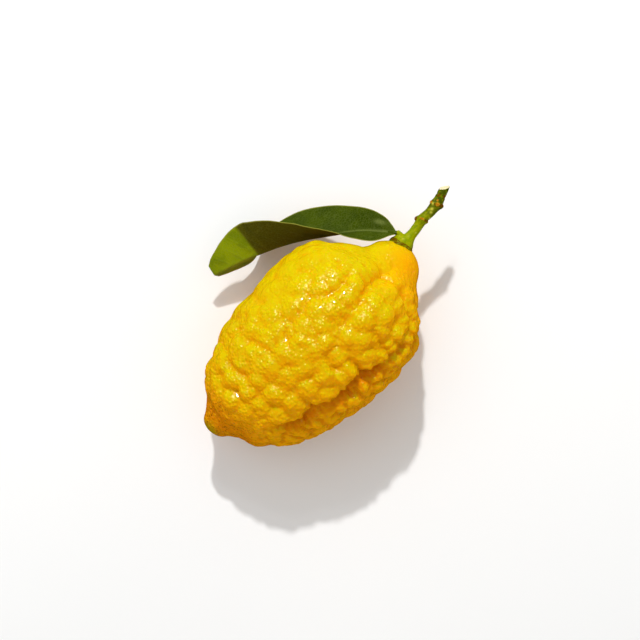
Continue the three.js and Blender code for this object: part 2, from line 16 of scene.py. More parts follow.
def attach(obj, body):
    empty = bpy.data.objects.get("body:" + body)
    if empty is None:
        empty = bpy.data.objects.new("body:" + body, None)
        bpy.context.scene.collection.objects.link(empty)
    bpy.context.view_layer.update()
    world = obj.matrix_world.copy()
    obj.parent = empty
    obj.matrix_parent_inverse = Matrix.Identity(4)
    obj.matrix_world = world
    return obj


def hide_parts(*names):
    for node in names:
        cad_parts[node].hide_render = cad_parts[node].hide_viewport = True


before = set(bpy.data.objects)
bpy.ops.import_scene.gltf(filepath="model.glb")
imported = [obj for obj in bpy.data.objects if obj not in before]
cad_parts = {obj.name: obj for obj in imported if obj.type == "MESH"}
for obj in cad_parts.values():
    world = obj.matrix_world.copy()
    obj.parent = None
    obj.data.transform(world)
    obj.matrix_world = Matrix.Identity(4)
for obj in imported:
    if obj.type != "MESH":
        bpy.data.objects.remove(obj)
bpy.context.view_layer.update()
MM = 0.001
print("nodes:", sorted(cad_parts))

# %% [markdown]
# ## Smooth curves from a few points
# A grown shape has no straight lines, but a handful of measured points says enough about it. `through`
# threads a smooth curve through such points, the way a bent strip of wood runs past nails. Blender's
# own curves could do this too. A plain function is handier here, because thousands of mesh points ask
# it for values at once. `fade` is a soft step from 0 to 1, and `within` a soft window.


# %% Curves and soft steps
def ease(share):
    return share * share * (3 - 2 * share)


def fade(value, start, end):
    return ease(np.clip((value - start) / (end - start), 0, 1))


def within(value, low, high, edge):
    return fade(value, low - edge, low + edge) * (1 - fade(value, high - edge, high + edge))


def smooth_max(a, b, rounding):
    """The larger of two heights, with the corner where they meet rounded off."""
    meet = np.maximum(rounding - np.abs(a - b), 0) / rounding
    return np.maximum(a, b) + meet * meet * rounding / 4


def unit(vectors):
    return vectors / np.linalg.norm(vectors, axis=-1, keepdims=True)


def through(rows):
    """A smooth curve through rows of [key, value, ...], held level past its ends."""
    table = np.array(sorted(rows), float)
    keys, values = table[:, 0], table[:, 1:]
    before = np.r_[0, np.arange(len(keys) - 1)]
    after = np.r_[np.arange(1, len(keys)), len(keys) - 1]
    slopes = (values[after] - values[before]) / (keys[after] - keys[before])[:, None]

    def at(key):
        key = np.clip(np.asarray(key, float), keys[0], keys[-1])
        i = np.clip(np.searchsorted(keys, key) - 1, 0, len(keys) - 2)
        gap = (keys[i + 1] - keys[i])[..., None]
        t = (key[..., None] - keys[i][..., None]) / gap
        rise = (2 * t**3 - 3 * t**2 + 1) * values[i] + (3 * t**2 - 2 * t**3) * values[i + 1]
        return rise + gap * ((t**3 - 2 * t**2 + t) * slopes[i] + (t**3 - t**2) * slopes[i + 1])

    return at


print("halfway between 2 and 4:", through([[0, 2], [1, 4]])(np.array([0.5]))[0, 0])

# %% [markdown]
# ## Packed domes
# Citrus peel is full of small domes that press against each other, from warts the size of a lentil to
# single oil glands. They look like a Voronoi pattern with rounded cells. Blender's Voronoi texture
# could only fake them in the shading, so `domes` works the same pattern out for mesh points: each cell
# of a grid holds one random centre, and the height falls off with distance from the nearest centre.
# The random numbers come from a fixed formula, so the fruit grows the same way on every run.

# %% Packed domes
STIR_I, STIR_J, STIR_K, STIR_SEED, SPREAD_OUT = 127.1, 311.7, 74.7, 53.3, 43758.5453


def chance(i, j, k, seed):
    """A number from 0 to 1 that looks random and is always the same for the same whole numbers."""
    wave = np.sin(i * STIR_I + j * STIR_J + k * STIR_K + seed * STIR_SEED) * SPREAD_OUT
    return wave - np.floor(wave)


def domes(points, size, softness, seed, uneven=0):
    """1 on top of a dome, less where it meets its neighbours. Uneven ones rise up to 1 + uneven."""
    spot = points / size
    cell = np.floor(spot)
    total = np.zeros(len(points))
    for i in (-1, 0, 1):
        for j in (-1, 0, 1):
            for k in (-1, 0, 1):
                corner = cell + (i, j, k)
                centre = corner + np.stack([chance(*corner.T, seed + n) for n in range(3)], 1)
                lift = uneven * chance(*corner.T, seed + 3)
                total += np.exp(softness * (lift - ((centre - spot) ** 2).sum(1)))
    return 1 + np.log(total + 1e-9) / softness


sample = domes(np.random.default_rng(1).uniform(0, 50, (1000, 3)), size=6.2, softness=9, seed=11)
print("dome heights run from", sample.min().round(2), "to", sample.max().round(2))

# %% [markdown]
# ## The fruit's smooth body
# Under its lumps the citron is a long body with a blunt nipple at the blossom end and a short neck at
# the stem. Its half widths along the length, its bent midline and the small tilt it lies at repeat the
# CAD part's driving sizes. `body_point` turns a place along the fruit and an angle round it into a
# point, and everything else on the skin is measured from there.

# %% Body sizes, in millimetres
BLOSSOM_TIP, STEM_END = -66.2, 64.5
AXIS_HEIGHT, AXIS_TILT = 36.5, 0.068
TOP_SHARE, UNDER_SHARE = 0.96, 0.945
OUTLINE = [
    [-65.2, 4.4], [-62, 7.8], [-58, 12], [-54, 17.4], [-48, 23.4], [-40, 28.5], [-30, 32.5],
    [-15, 36.9], [0, 38.9], [15, 39.1], [27, 37.6], [33, 35.2], [40, 29.2], [46, 22.8],
    [50, 18.9], [54, 15.4], [58, 12.5], [61, 9.6], [63.5, 5.2],
]
MIDLINE = [
    [-66, 3], [-60, 2.2], [-54, 1], [-46, 0], [-5, -0.5], [17, 0], [34, -0.2], [46, -1.5],
    [50, -1.9], [55, 0.6], [60, 0.6], [64, 0.5],
]
MIDDLE = (BLOSSOM_TIP + STEM_END) / 2
HALF_LENGTH = (STEM_END - BLOSSOM_TIP) / 2
STEEPEST = 0.98


def ellipse(x):
    return np.sqrt(np.maximum(1 - ((x - MIDDLE) / HALF_LENGTH) ** 2, 0))


fullness_curve = through([[x, half / ellipse(x)] for x, half in OUTLINE])
midline_curve = through(MIDLINE)


def half_width(x):
    return fullness_curve(x)[..., 0] * ellipse(x)


def body_point(x, turn, half):
    share = UNDER_SHARE + (TOP_SHARE - UNDER_SHARE) * ease((1 + np.cos(turn)) / 2)
    side = midline_curve(x)[..., 0] + half * np.sin(turn)
    height = AXIS_HEIGHT + AXIS_TILT * x + share * half * np.cos(turn)
    return np.stack([x + 0 * side, side, height], -1)


def turn_at(x, y):
    """A place seen from above, as an angle from the top of the fruit."""
    return np.arcsin(np.clip((y - midline_curve(x)[..., 0]) / half_width(x), -STEEPEST, STEEPEST))


print("widest half width:", half_width(np.linspace(-60, 60, 200)).max().round(1), "mm")

# %% [markdown]
# ## Knobs
# A citron's peel swells into knobs 8 to 17 mm across. On the upper side each one has its own place,
# because they are what this fruit is recognised by. Round the sides and underneath they follow in rows,
# where chance moves each one and sets its breadth. A knob is a low dome. Where two meet, the higher one
# wins and the corner between them is rounded, which leaves the soft creases of real peel.

# %% Knob places: x, y, radius, height
UPPER_KNOBS = [
    [-47.5, 6.5, 5.6, 2.6], [-48, 17.5, 6, 1.6], [-38.5, 22.5, 6.2, 1.9], [-27.5, 23, 6.6, 1.9],
    [-40.5, 13.5, 5.8, 1.6], [-32, 16, 5.2, 1.5], [-24.5, 15.5, 5.6, 1.7], [-16, 25.5, 6.4, 1.6],
    [-15.5, 16.5, 6, 1.6], [-35, 29, 6.2, 1.4], [-7, 14.5, 5.6, 1.5], [-5, 24.5, 7, 1.6],
    [-38.5, 3, 5, 1.8], [-31.5, 5, 4.8, 1.6], [-22.5, 5.5, 5.8, 1.6], [-13.5, 5, 5.6, 1.7],
    [-5, 4, 5.2, 2.1], [-45.5, -4.5, 5.8, 1.6], [-38.5, -6, 5.2, 1.8], [-29.5, -6.5, 5.8, 1.8],
    [-20, -5, 5.2, 1.5], [-12.5, -6, 5.4, 1.8], [-44, -13, 6, 1.5], [-35.5, -14, 5.8, 2],
    [-26.5, -15, 6, 2.2], [-16.5, -15, 5.8, 2.1], [-7, -15.5, 5.6, 2.3], [-1, -21, 5.4, 2.2],
    [-12, -21.5, 5.4, 2], [4, -4, 5.6, 2.2], [4.5, 19.5, 6.6, 1.8], [12.5, 24.5, 7, 1.6],
    [18.5, 16.5, 4.8, 1.7], [27, 18, 8.6, 1.6], [35, 24.5, 7.6, 1.7], [2, 9, 5.4, 1.7],
    [10.5, 11, 5.6, 2], [18, 6.5, 6, 2.3], [26, 6, 5.6, 2.1], [33, 7, 5.6, 2.2],
    [42.5, 9, 7.6, 1.7], [24, -7.5, 6.8, 2.6], [13, -9, 5.8, 2.2], [33.5, -5.5, 6.2, 2.4],
    [41.5, -6.5, 7, 2.6], [33, -13.5, 6.6, 2.1], [49, -4.5, 6, 1.6], [16.5, -15, 6.6, 2],
    [26, -18, 5, 1.5], [40.5, -15, 6, 1.8], [48, -15, 4.6, 1.4], [44, -21.5, 5, 1.5],
    [37.5, -22, 4.4, 1.6], [31.5, -24, 4.4, 1.6], [24.5, -25.5, 3.8, 1.5], [13, -22.5, 6.2, 2.1],
    [4, -21, 5.2, 2.1], [4, -12.5, 5.4, 1.5], [-46, -20.5, 6, 1.2], [-36, -26, 5.4, 1.6],
    [-26, -29.5, 4.8, 2], [-18.5, -32, 5, 2.1], [-11.5, -31, 4.2, 2], [-5, -33, 4.8, 2.6],
    [2, -31, 4, 2.4], [8, -35.5, 4.6, 2.3], [12, -32, 3.8, 1.8], [17.5, -34.5, 4.4, 2],
    [23, -32, 4.2, 1.8], [29, -32, 4.4, 1.9], [34, -29.5, 4.2, 1.8], [39, -27, 4.4, 1.7], [2, 33, 7, 1.5],
    [14, 34, 7, 1.5], [25, 30.5, 7.4, 1.5], [-12, 34, 6.6, 1.4], [-24, 31, 5.6, 1.3],
]
ROW_FROM, ROW_TO, ROW_STEP = -52, 46, 8.6
ROW_RADIUS, ROW_HEIGHT, ROW_SEED = 6.4, 1.5, 5
ROW_DRIFT, ROW_STRAY, ROW_APART = 0.9, 7, 0.95
SLIMMEST, SPREAD_OF_SIZES = 0.75, 0.5


def knob_at(x, turn, radius, height):
    return [*body_point(np.array(x), np.array(turn), half_width(np.array(x))), radius, height]


knobs = [knob_at(x, turn_at(x, y), radius, height) for x, y, radius, height in UPPER_KNOBS]
for row, x in enumerate(np.arange(ROW_FROM, ROW_TO + 0.01, ROW_STEP)):
    count = int(math.floor(2 * math.pi * half_width(x) / ROW_STEP + 0.5))
    for i in range(count):
        drift, stray, growth = [chance(row, i, n, ROW_SEED) for n in range(3)]
        turn = (i + 0.5 * (row % 2) + ROW_DRIFT * drift) / count * 2 * math.pi
        radius = ROW_RADIUS * (SLIMMEST + SPREAD_OF_SIZES * growth)
        knob = knob_at(x + ROW_STRAY * (stray - 0.5), turn, radius, ROW_HEIGHT)
        if all(math.dist(knob[:3], other[:3]) > ROW_APART * other[3] for other in knobs):
            knobs.append(knob)
knobs = np.array(knobs)
print(len(knobs), "knobs on the fruit")

# %% [markdown]
# ## Grooves and creases
# Long grooves run from the neck down the fruit, where the peel folds in as it grows. The deepest one
# has a lip: the skin above it bulges over. Short creases cross between the knobs. Each is a curve over
# the skin with a depth at every point. Seen in cross-section it is a smooth bell, so a vertex is pushed
# in by an amount that fades with its distance from the curve.

# %% Groove routes: x, y and depth, or on the hidden side x, degrees from the top and depth
LONG_GROOVE = [
    [55, 0.5, 0.4], [49, 0.6, 1.4], [42, 1.8, 2.8], [36, 1.5, 2.6], [30, -1, 2.2], [22, -2.4, 1.8],
    [14, -3.8, 1.7], [7, -7.5, 1.6], [0, -9.5, 1.2],
]
SECOND_GROOVE = [
    [38, 13, 0.8], [32, 11.8, 1.8], [26, 10.6, 2], [20, 12, 1.9], [14, 16, 1.5], [6, 14.4, 1.6],
    [-2, 12.8, 1.2], [-9, 11, 0.8],
]
DEEP_GROOVE = [
    [-46, -14, 0.6], [-41, -17, 1.6], [-34, -21.5, 3], [-28, -23.6, 3.6], [-20, -23, 1.8],
    [-13, -26, 2.4], [-4, -27.2, 3.2], [4, -27, 3.8], [9, -28.2, 4.2], [16, -29.5, 2.8], [24, -29.5, 1.6],
    [32, -29, 0.8],
]
HIDDEN_GROOVES = [
    [[48, 98, 1.2], [34, 94, 2.2], [16, 98, 1.8], [0, 95, 1.0]],
    [[46, 130, 1.2], [30, 126, 2.6], [12, 130, 2.4], [-8, 124, 1.4]],
    [[50, 158, 1.0], [38, 152, 2.2], [24, 150, 1.6]],
    [[48, -84, 1.2], [34, -80, 2.4], [14, -84, 2.2], [-6, -80, 2.2], [-26, -84, 1.4]],
    [[46, -122, 1.2], [30, -126, 2.4], [8, -120, 2.4], [-16, -124, 1.6]],
    [[-12, 98, 1.2], [-26, 102, 2.0], [-40, 98, 1.4]],
    [[-14, 138, 1.4], [-30, 142, 2.2], [-44, 136, 1.4]],
]
# Creases run across the fruit: y, x, depth.
CREASES = [
    [[-8, -0.5, 1], [-14, -1.5, 1.8], [-19, 0.8, 1]],
    [[-16, 6, 1], [-21, 7.2, 2.2], [-27, 7, 2.4]],
    [[-14, 24, 1], [-19, 23.4, 1.8], [-27, 21.4, 1.4]],
    [[21, -36.5, 0.8], [14, -35.2, 1.5], [8, -34, 0.9]],
    [[21, -20.5, 0.8], [15, -19, 1.4], [8, -17, 0.8]],
    [[-16, -21.4, 0.9], [-20, -20.8, 1.8], [-24, -19.4, 1]],
    [[4, -43.2, 1], [8, -42.6, 1.4], [13, -44.5, 0.8]],
    [[-10, 46.5, 0.8], [-14.5, 44.4, 1.6], [-19, 40.5, 1.4]],
]
GROOVE_WIDTH, GROOVE_SHARE, GROOVE_END = 1.6, 0.55, 3
VALLEY_WIDTH, VALLEY_SHARE, VALLEY_PINCH = 5.5, 0.6, 2.2
LIP_RISE, LIP_WIDTH, LIP_REACH = 0.32, 3, 3.6
CREASE_WIDTH, CREASE_END = 1.5, 2.5
GROOVE_WOBBLE, LONG_WAVE, SHORT_WAVE, WAVE_ROUND = 0.5, 1.3, 2.1, 4


def as_groove(rows, lip=0):
    return through(rows), min(rows)[0], max(rows)[0], lip


def from_above(rows):
    return [[x, float(turn_at(np.array(x), y)), depth] for x, y, depth in rows]


grooves = [as_groove(from_above(LONG_GROOVE)), as_groove(from_above(SECOND_GROOVE))]
grooves.append(as_groove(from_above(DEEP_GROOVE), lip=1))
grooves += [as_groove([[x, math.radians(turn), deep] for x, turn, deep in rows]) for rows in HIDDEN_GROOVES]
creases = [as_groove([[float(turn_at(np.array(x), y)), x, deep] for y, x, deep in rows]) for rows in CREASES]


def across_groove(curve, x, turn, half):
    """How far a point lies from a groove, measured over the skin and square to the groove."""
    wobble = GROOVE_WOBBLE * (np.sin(x * LONG_WAVE) + np.sin(x * SHORT_WAVE + WAVE_ROUND * turn))
    off = turn - curve(x)[:, 0] + wobble / half
    lean = half * (curve(x + 0.5)[:, 0] - curve(x - 0.5)[:, 0])
    return np.arctan2(np.sin(off), np.cos(off)) * half / np.hypot(1, lean)


def bell(distance, width):
    return np.exp(-((distance / width) ** 2))


def groove_depth(x, turn, half):
    depth = np.zeros(len(x))
    for curve, low, high, lip in grooves:
        across = across_groove(curve, x, turn, half)
        shape = GROOVE_SHARE * bell(across, GROOVE_WIDTH)
        shape += VALLEY_SHARE * bell(across, VALLEY_WIDTH - VALLEY_PINCH * lip)
        shape -= lip * LIP_RISE * bell(across - LIP_REACH, LIP_WIDTH)
        depth += within(x, low, high, GROOVE_END) * curve(x)[:, 1] * shape
    for curve, low, high, _ in creases:
        centre, deep = curve(turn).T
        reach = within(turn, low, high, CREASE_END / np.maximum(half, 1))
        depth += reach * deep * bell(x - centre, CREASE_WIDTH)
    return depth


print(len(grooves), "grooves and", len(creases), "creases")

# %% [markdown]
# ## A ball of even quads
# A mesh for this should have even faces everywhere, with no poles where they bunch up. A cube whose
# sides are cut into a grid and then blown up to a ball does that: it is often called a quad sphere.
# Each point of the ball is a direction from the fruit's middle. It moves out to the smooth body, and
# from there along the body's normal by the height of knobs, warts and glands.

# %% A ball of even quads
BALL_CUTS, TOP_HEAVY = 127, 0.25


def quad_sphere(cuts):
    ball = bmesh.new()
    bmesh.ops.create_cube(ball, size=2)
    bmesh.ops.subdivide_edges(ball, edges=ball.edges[:], cuts=cuts, use_grid_fill=True)
    ball.verts.index_update()
    corners = np.array([vertex.co[:] for vertex in ball.verts])
    faces = np.array([[vertex.index for vertex in face.verts] for face in ball.faces])
    ball.free()
    return unit(np.tan(corners * math.pi / 4)), faces


directions, skin_faces = quad_sphere(BALL_CUTS)
directions = unit(directions + (0, 0, TOP_HEAVY))
print(len(directions), "points and", len(skin_faces), "quads")

# %% [markdown]
# ## Warts, beads and glands
# Three finer layers lie on the knobs: warts about 5 mm across, beads of 2.6 mm, and the oil glands, the
# shiny pimples not quite 2 mm apart that catch the light. Peel isn't rough everywhere: it is sleek on
# the shoulder below the leaf and on the neck, rough along the deep groove and flat where it rests. On
# the sides the knobs are pushed out of line and the warts are round, so that no row shows.

# %% Relief of the skin
KNOB_ROUNDING, KNOB_SPREAD, KNOB_SHARE = 0.6, 1.1, 1.12
WART = dict(size=4.7, softness=10, seed=11, uneven=0.4, bend=1.1, stretch=1.2)
ROUND_WART = dict(size=4.7, softness=10, seed=12, uneven=0.6, bend=1.1)
BEAD = dict(size=2.6, softness=12, seed=19, uneven=0.3, bend=1.4, stretch=1.3)
GLAND = dict(size=1.8, softness=10, seed=31, bend=0.5)
ROUGH_PATCHES = dict(size=16, softness=5, seed=57, bend=2)
TALL_PATCHES = dict(size=13, softness=5, seed=61, bend=2)
WART_HEIGHT, BEAD_HEIGHT, GLAND_HEIGHT = 1.5, 0.6, 0.1
WART_SINK, WART_LEVEL, BEAD_LEVEL, GLAND_LEVEL = 0.2, 0.8, 0.75, 0.7
ROUGH_EDGE, ROUGH_LEAST, ROUGH_GAIN = (0.45, 0.95), 0.65, 0.5
TALL_EDGE, TALL_LOSS, TALL_GAIN = (0.4, 0.95), 0.5, 0.9
SIDES, SIDE_BEND = (1.1, 1.7), 2
SHOULDER_ALONG, SHOULDER_ACROSS, SHOULDER_SLANT = (-10, 18), (-16, -2), 0.6
SLEEK_KNOBS, SLEEK_WARTS, SLEEK_BEADS = 0.3, 0.4, 0.5
GROOVE_BAND, GROOVE_BAND_GAIN = (-36, -24, 3), 0.9
BOLD_ALONG, BOLD_ACROSS, BOLD_GAIN = (22, 50, 5), (-36, -8, 4), 0.2
COLLAR, COLLAR_LOSS = (40, 50, 3), 0.5
NECK_KNOBS, NECK_WARTS = (46, 56), (42, 56)
NECK_KNOB_LOSS, NECK_WART_LOSS, NECK_GLAND_LOSS = 0.6, 0.65, 0.5
SKIN_DROP, TIP_SMOOTH, REST_SMOOTH, REST_GLANDS = 0.7, 12, (7, 22), (4, 12)


def knob_height(points):
    height = np.zeros(len(points))
    for x, y, z, radius, top in knobs:
        dome = KNOB_SHARE * top * (1 - ((points - (x, y, z)) ** 2).sum(1) / (KNOB_SPREAD * radius) ** 2)
        height = smooth_max(height, dome, KNOB_ROUNDING)
    return height


def bent(points, amount):
    """The points a little out of line, so that no pattern looks like a grid."""
    x, y, z = points.T
    return points + amount * np.stack([np.sin(y / 4), np.sin(z / 5 + 1), np.sin(x / 4 + 2)], 1)


def pattern(points, bend, stretch=1, **kind):
    """Domes on the skin, longer round the fruit if they are stretched."""
    return domes(bent(points, bend) / (1, stretch, stretch), **kind)


def pillow(dome, steepness=1.5):
    """The same domes with broader tops and steeper sides."""
    return 1 - np.maximum(1 - dome, 0) ** steepness


def small_lumps(points, aside):
    """Warts and beads, in patches and rougher along the deep groove, and how sleek the shoulder is."""
    x, y = points.T[:2]
    wart = pattern(points, **WART)
    wart += aside * (pattern(points, **ROUND_WART) - wart)
    wart = WART_HEIGHT * (pillow(wart - WART_SINK) - WART_LEVEL)
    bead = BEAD_HEIGHT * (pattern(points, **BEAD) - BEAD_LEVEL)
    patchy = ROUGH_LEAST + ROUGH_GAIN * fade(pattern(points, **ROUGH_PATCHES), *ROUGH_EDGE)
    sleek = fade(x + SHOULDER_SLANT * y, *SHOULDER_ALONG) * fade(y, *SHOULDER_ACROSS)
    rough = 1 + GROOVE_BAND_GAIN * within(y, *GROOVE_BAND)
    return patchy * (wart * (1 - SLEEK_WARTS * sleek) + bead * (1 - SLEEK_BEADS * sleek)) * rough, sleek


def relief(points, turn):
    """The height of all the lumps less the grooves, and the height of the glands alone."""
    x, y = points.T[:2]
    aside = fade(np.abs(turn), *SIDES)
    small, sleek = small_lumps(points, aside)
    bold = 1 + BOLD_GAIN * within(x, *BOLD_ALONG) * within(y, *BOLD_ACROSS)
    astray = points + aside[:, None] * (bent(points, SIDE_BEND) - points)
    tall = fade(pattern(points, **TALL_PATCHES), *TALL_EDGE)
    lively = 1 + aside * (TALL_GAIN * tall - TALL_LOSS) - COLLAR_LOSS * aside * within(x, *COLLAR)
    skin = knob_height(astray) * bold * lively * (1 - SLEEK_KNOBS * sleek)
    skin *= 1 - NECK_KNOB_LOSS * fade(x, *NECK_KNOBS)
    skin += small * (1 - NECK_WART_LOSS * fade(x, *NECK_WARTS))
    from_rest = np.linalg.norm(points, axis=1)
    calm = fade(x, BLOSSOM_TIP, BLOSSOM_TIP + TIP_SMOOTH) * fade(from_rest, *REST_SMOOTH)
    height = calm * (skin - SKIN_DROP - groove_depth(x, turn, half_width(x)))
    gland = (pattern(points, **GLAND) - GLAND_LEVEL) * GLAND_HEIGHT
    gland *= 1 - NECK_GLAND_LOSS * fade(x, *NECK_KNOBS)
    return height, gland * fade(from_rest, *REST_GLANDS)


# %% Sums, normals and averages over the mesh
def vertex_sum(values, faces, count):
    """For each point, the sum of what its faces hold."""
    total = np.zeros((count, values.shape[1]))
    for k in range(faces.shape[1]):
        for column in range(values.shape[1]):
            total[:, column] += np.bincount(faces[:, k], values[:, column], count)
    return total


def body_normals(points, faces):
    corner = points[faces]
    flat = np.cross(corner[:, 2] - corner[:, 0], corner[:, 3] - corner[:, 1])
    return unit(vertex_sum(flat, faces, len(points)))


def smoothed(values, faces, rounds):
    """Values on the points, each replaced by the mean of its neighbourhood, again and again."""
    share = vertex_sum(np.ones((len(faces), 1)), faces, len(values))[:, 0]
    for _ in range(rounds):
        values = vertex_sum(values[faces].mean(1)[:, None], faces, len(values))[:, 0] / share
    return values


along = MIDDLE + HALF_LENGTH * directions[:, 0]
skin_turn = np.arctan2(directions[:, 1], directions[:, 2])
reach = fullness_curve(along)[:, 0] * np.hypot(directions[:, 1], directions[:, 2])
smooth = body_point(along, skin_turn, reach)
outward = body_normals(smooth, skin_faces)
height, gland = relief(smooth, skin_turn)
height = smoothed(height, skin_faces, 1)
skin = smooth + outward * (height + gland)[:, None]
skin[:, 2] = np.maximum(skin[:, 2], 0)
print("relief from", height.min().round(1), "to", height.max().round(1), "mm; lowest point", skin[:, 2].min())

# %% [markdown]
# ## Masks for the peel
# The peel's material has to know where it is: in a fold, on the neck, at the blossom end. A mesh can
# keep such numbers on its points as attributes, and a material reads them by name. A fold is found by
# taking each height from the average round it: a narrow average finds creases, a wide one finds
# hollows, and the material paints shade into these dips and under the deep groove's lip. One more mask
# grows where the skin turns away from the key lamp, and there painted shade makes the peel a deeper gold.


# %% From points to a mesh object
def make_piece(name, points, faces, attributes):
    """A smooth-shaded mesh object from points in millimetres, with named numbers stored on its points."""
    mesh = bpy.data.meshes.new(name)
    mesh.from_pydata((points * MM).tolist(), [], [list(map(int, corners)) for corners in faces])
    for label, values in attributes.items():
        mesh.attributes.new(label, "FLOAT", "POINT").data.foreach_set("value", np.asarray(values, np.float32))
    mesh.polygons.foreach_set("use_smooth", [True] * len(mesh.polygons))
    mesh.update()
    piece = bpy.data.objects.new(name, mesh)
    bpy.context.scene.collection.objects.link(piece)
    return piece


# How many rounds of averaging, and how many millimetres below the average count as a full dip.
CREASE_DIP, FOLD_DIP, HOLLOW_DIP = (4, 0.08), (20, 0.35), (110, 1.6)


def dip(rounds, full):
    """How far each point lies below the average of its surroundings, as a share of a full dip."""
    return np.clip((smoothed(height, skin_faces, rounds) - height) / full, 0, 1)


print("share of the skin that lies in a fold:", (dip(*FOLD_DIP) > 0.5).mean().round(2))

# %% Make the fruit
# Skin of the fruit and of each lump that faces away from the key lamp is painted a deeper gold, as painted
# shade. The first direction below points towards the key lamp.
KEY_LAMP_SIDE, KEY_LAMP_FACING, SHADY_BELOW = np.array([0.43, 0.53, 0.73]), (0.05, 1.0), (-2, 2)
GREEN_SPOT, GREEN_REACH = (-65, 3, 35), 5
CLEFT_ALONG, CLEFT_OPENS, CLEFT_SHUTS = (-38, 18, 4), (-8, -2), (0.5, 2.5)
NECK_ALONG, NECK_ACROSS, BLOSSOM_END = (34, 60), (-16, 12), (-58, -46)
FINE_GLANDS, FINER, COARSE_GLANDS, COARSER = (26, 54), 0.3, (-34, -4), 0.45
SPECKLED_END, SPECKLED_SIDE, SPECKLED_UP, FEWER_SPECKS = (-60, -42), (-36, -26), (15, 40), 0.4
HIDDEN_TURN, SOFTER_CREASES, SOFTER_HOLLOWS = (1.45, 1.85), 0.6, 0.35
x, y, z = smooth.T
deep_curve = grooves[2][0]
below = across_groove(deep_curve, x, skin_turn, half_width(x))
# Painted shade in the strip under the overhanging lip of the deep groove.
cleft_shade = fade(below, *CLEFT_OPENS) * (1 - fade(below, *CLEFT_SHUTS)) * within(x, *CLEFT_ALONG)
underneath = fade(np.abs(skin_turn), *HIDDEN_TURN)
finer = FINER * fade(x + SHOULDER_SLANT * y, *FINE_GLANDS)
specks_aside = FEWER_SPECKS * (1 - fade(y, *SPECKLED_SIDE)) * fade(z, *SPECKLED_UP)
citron_skin = make_piece("citron_skin", skin, skin_faces, {
    "cleft_shade": cleft_shade,
    # crease, fold and hollow mark dips in the relief, and the peel paints shade into them; shady marks the
    # skin below the deep groove, where the painted shade in creases is stronger.
    "crease": dip(*CREASE_DIP) * (1 - SOFTER_CREASES * underneath),
    "coarse": 1 - finer + COARSER * (1 - fade(x, *COARSE_GLANDS)),
    "fold": dip(*FOLD_DIP),
    "hollow": dip(*HOLLOW_DIP) * (1 - SOFTER_HOLLOWS * underneath),
    "neck": fade(x, *NECK_ALONG) * fade(-y, *NECK_ACROSS),
    "blossom": 1 - fade(x, *BLOSSOM_END),
    "green": np.exp(-((smooth - GREEN_SPOT) ** 2).sum(1) / GREEN_REACH**2),
    # painted shade: deeper gold where the skin turns away from the key lamp
    "painted_side_shade": 1 - fade(body_normals(skin, skin_faces) @ KEY_LAMP_SIDE, *KEY_LAMP_FACING),
    "shady": 1 - fade(below, *SHADY_BELOW),
    "speckled": np.maximum(1 - fade(x, *SPECKLED_END), specks_aside),
})
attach(citron_skin, "root")
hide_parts("fruit")
print("citron_skin:", len(skin_faces) * 2, "triangles")

# %% [markdown]
# ## The twig
# The fruit hangs on a short woody twig that swells into a calyx where it holds the fruit. A plain
# cylinder with a bent axis would miss its character, which lies in buds, corky leaf scars and a slanted
# cut. So the twig is a tube of many thin rings. Each ring's radius starts from the CAD model's and grows
# wherever a knot bulges out. Every column of points starts just inside the skin of the fruit and stops
# at the plane of the cut, to within a tenth of a millimetre.

# %% Twig sizes, in millimetres: x, y, z, radius
TWIG = [
    [59, 4.3, 40.4, 5.8], [61.6, 5, 40.7, 5.9], [63.6, 5.3, 41, 5.3], [65.4, 5.4, 41.2, 4.1],
    [67.2, 5.6, 41.3, 3], [69, 5.9, 41.5, 2.5], [72.1, 6.4, 41.8, 2.4], [75.4, 7.2, 42.1, 2.45],
    [77.4, 7.8, 42.4, 2.75], [79.2, 7.9, 42.6, 2.45], [82.3, 7.8, 42.9, 2.4], [85, 8.1, 43.1, 2.6],
    [87.4, 8.5, 43.3, 2.95], [89, 9, 43.5, 2.7], [91, 9.7, 43.8, 2.3], [93, 10.6, 44.1, 2.3],
    [95, 11.4, 44.4, 2.2], [99, 13.4, 45, 2.1],
]
KNOTS = [
    [76.1, 9.7, 42.3, 1.2], [78.2, 6.2, 42.7, 1.2], [77.7, 8.2, 44.6, 0.8], [86.5, 10.3, 43.7, 1.2],
    [88.2, 6.8, 43.5, 1.6], [87.8, 8.1, 45.3, 1.3], [90.8, 10.4, 45.3, 1], [64.2, 8.8, 41.6, 2.3],
    [65.2, 10.9, 43.2, 1],
]
KNOT_ROUNDING = 0.5
LOBE_COUNT, LOBE_DEPTH, LOBE_TURN, LOBES_ALONG = 5, 0.09, 0.6, (62, 66.5)
CUT_POINT, CUT_NORMAL = np.array([95.7, 11.6, 44.4]), unit(np.array([0.49, 0.775, 0.4]))
TWIG_SIDES, TWIG_RINGS, WALK_STEPS, FOOT_SINK = 96, 230, 600, 1.8
twig_curve = through([[i, *row] for i, row in enumerate(TWIG)])
print("twig length:", round(math.dist(TWIG[1][:3], CUT_POINT), 1), "mm")

# %% [markdown]
# ## Knots, scars and bark
# A knot is a small ball that the bark has grown over. From a point on the twig's axis, a ray through
# the bark leaves the ball at a known distance, so the bark's radius is the larger of its own and that
# distance, with the join rounded. Fine fibres run along the bark. Scars are corky patches, lenticels
# are pale breathing pores, and bruises only change the colour.

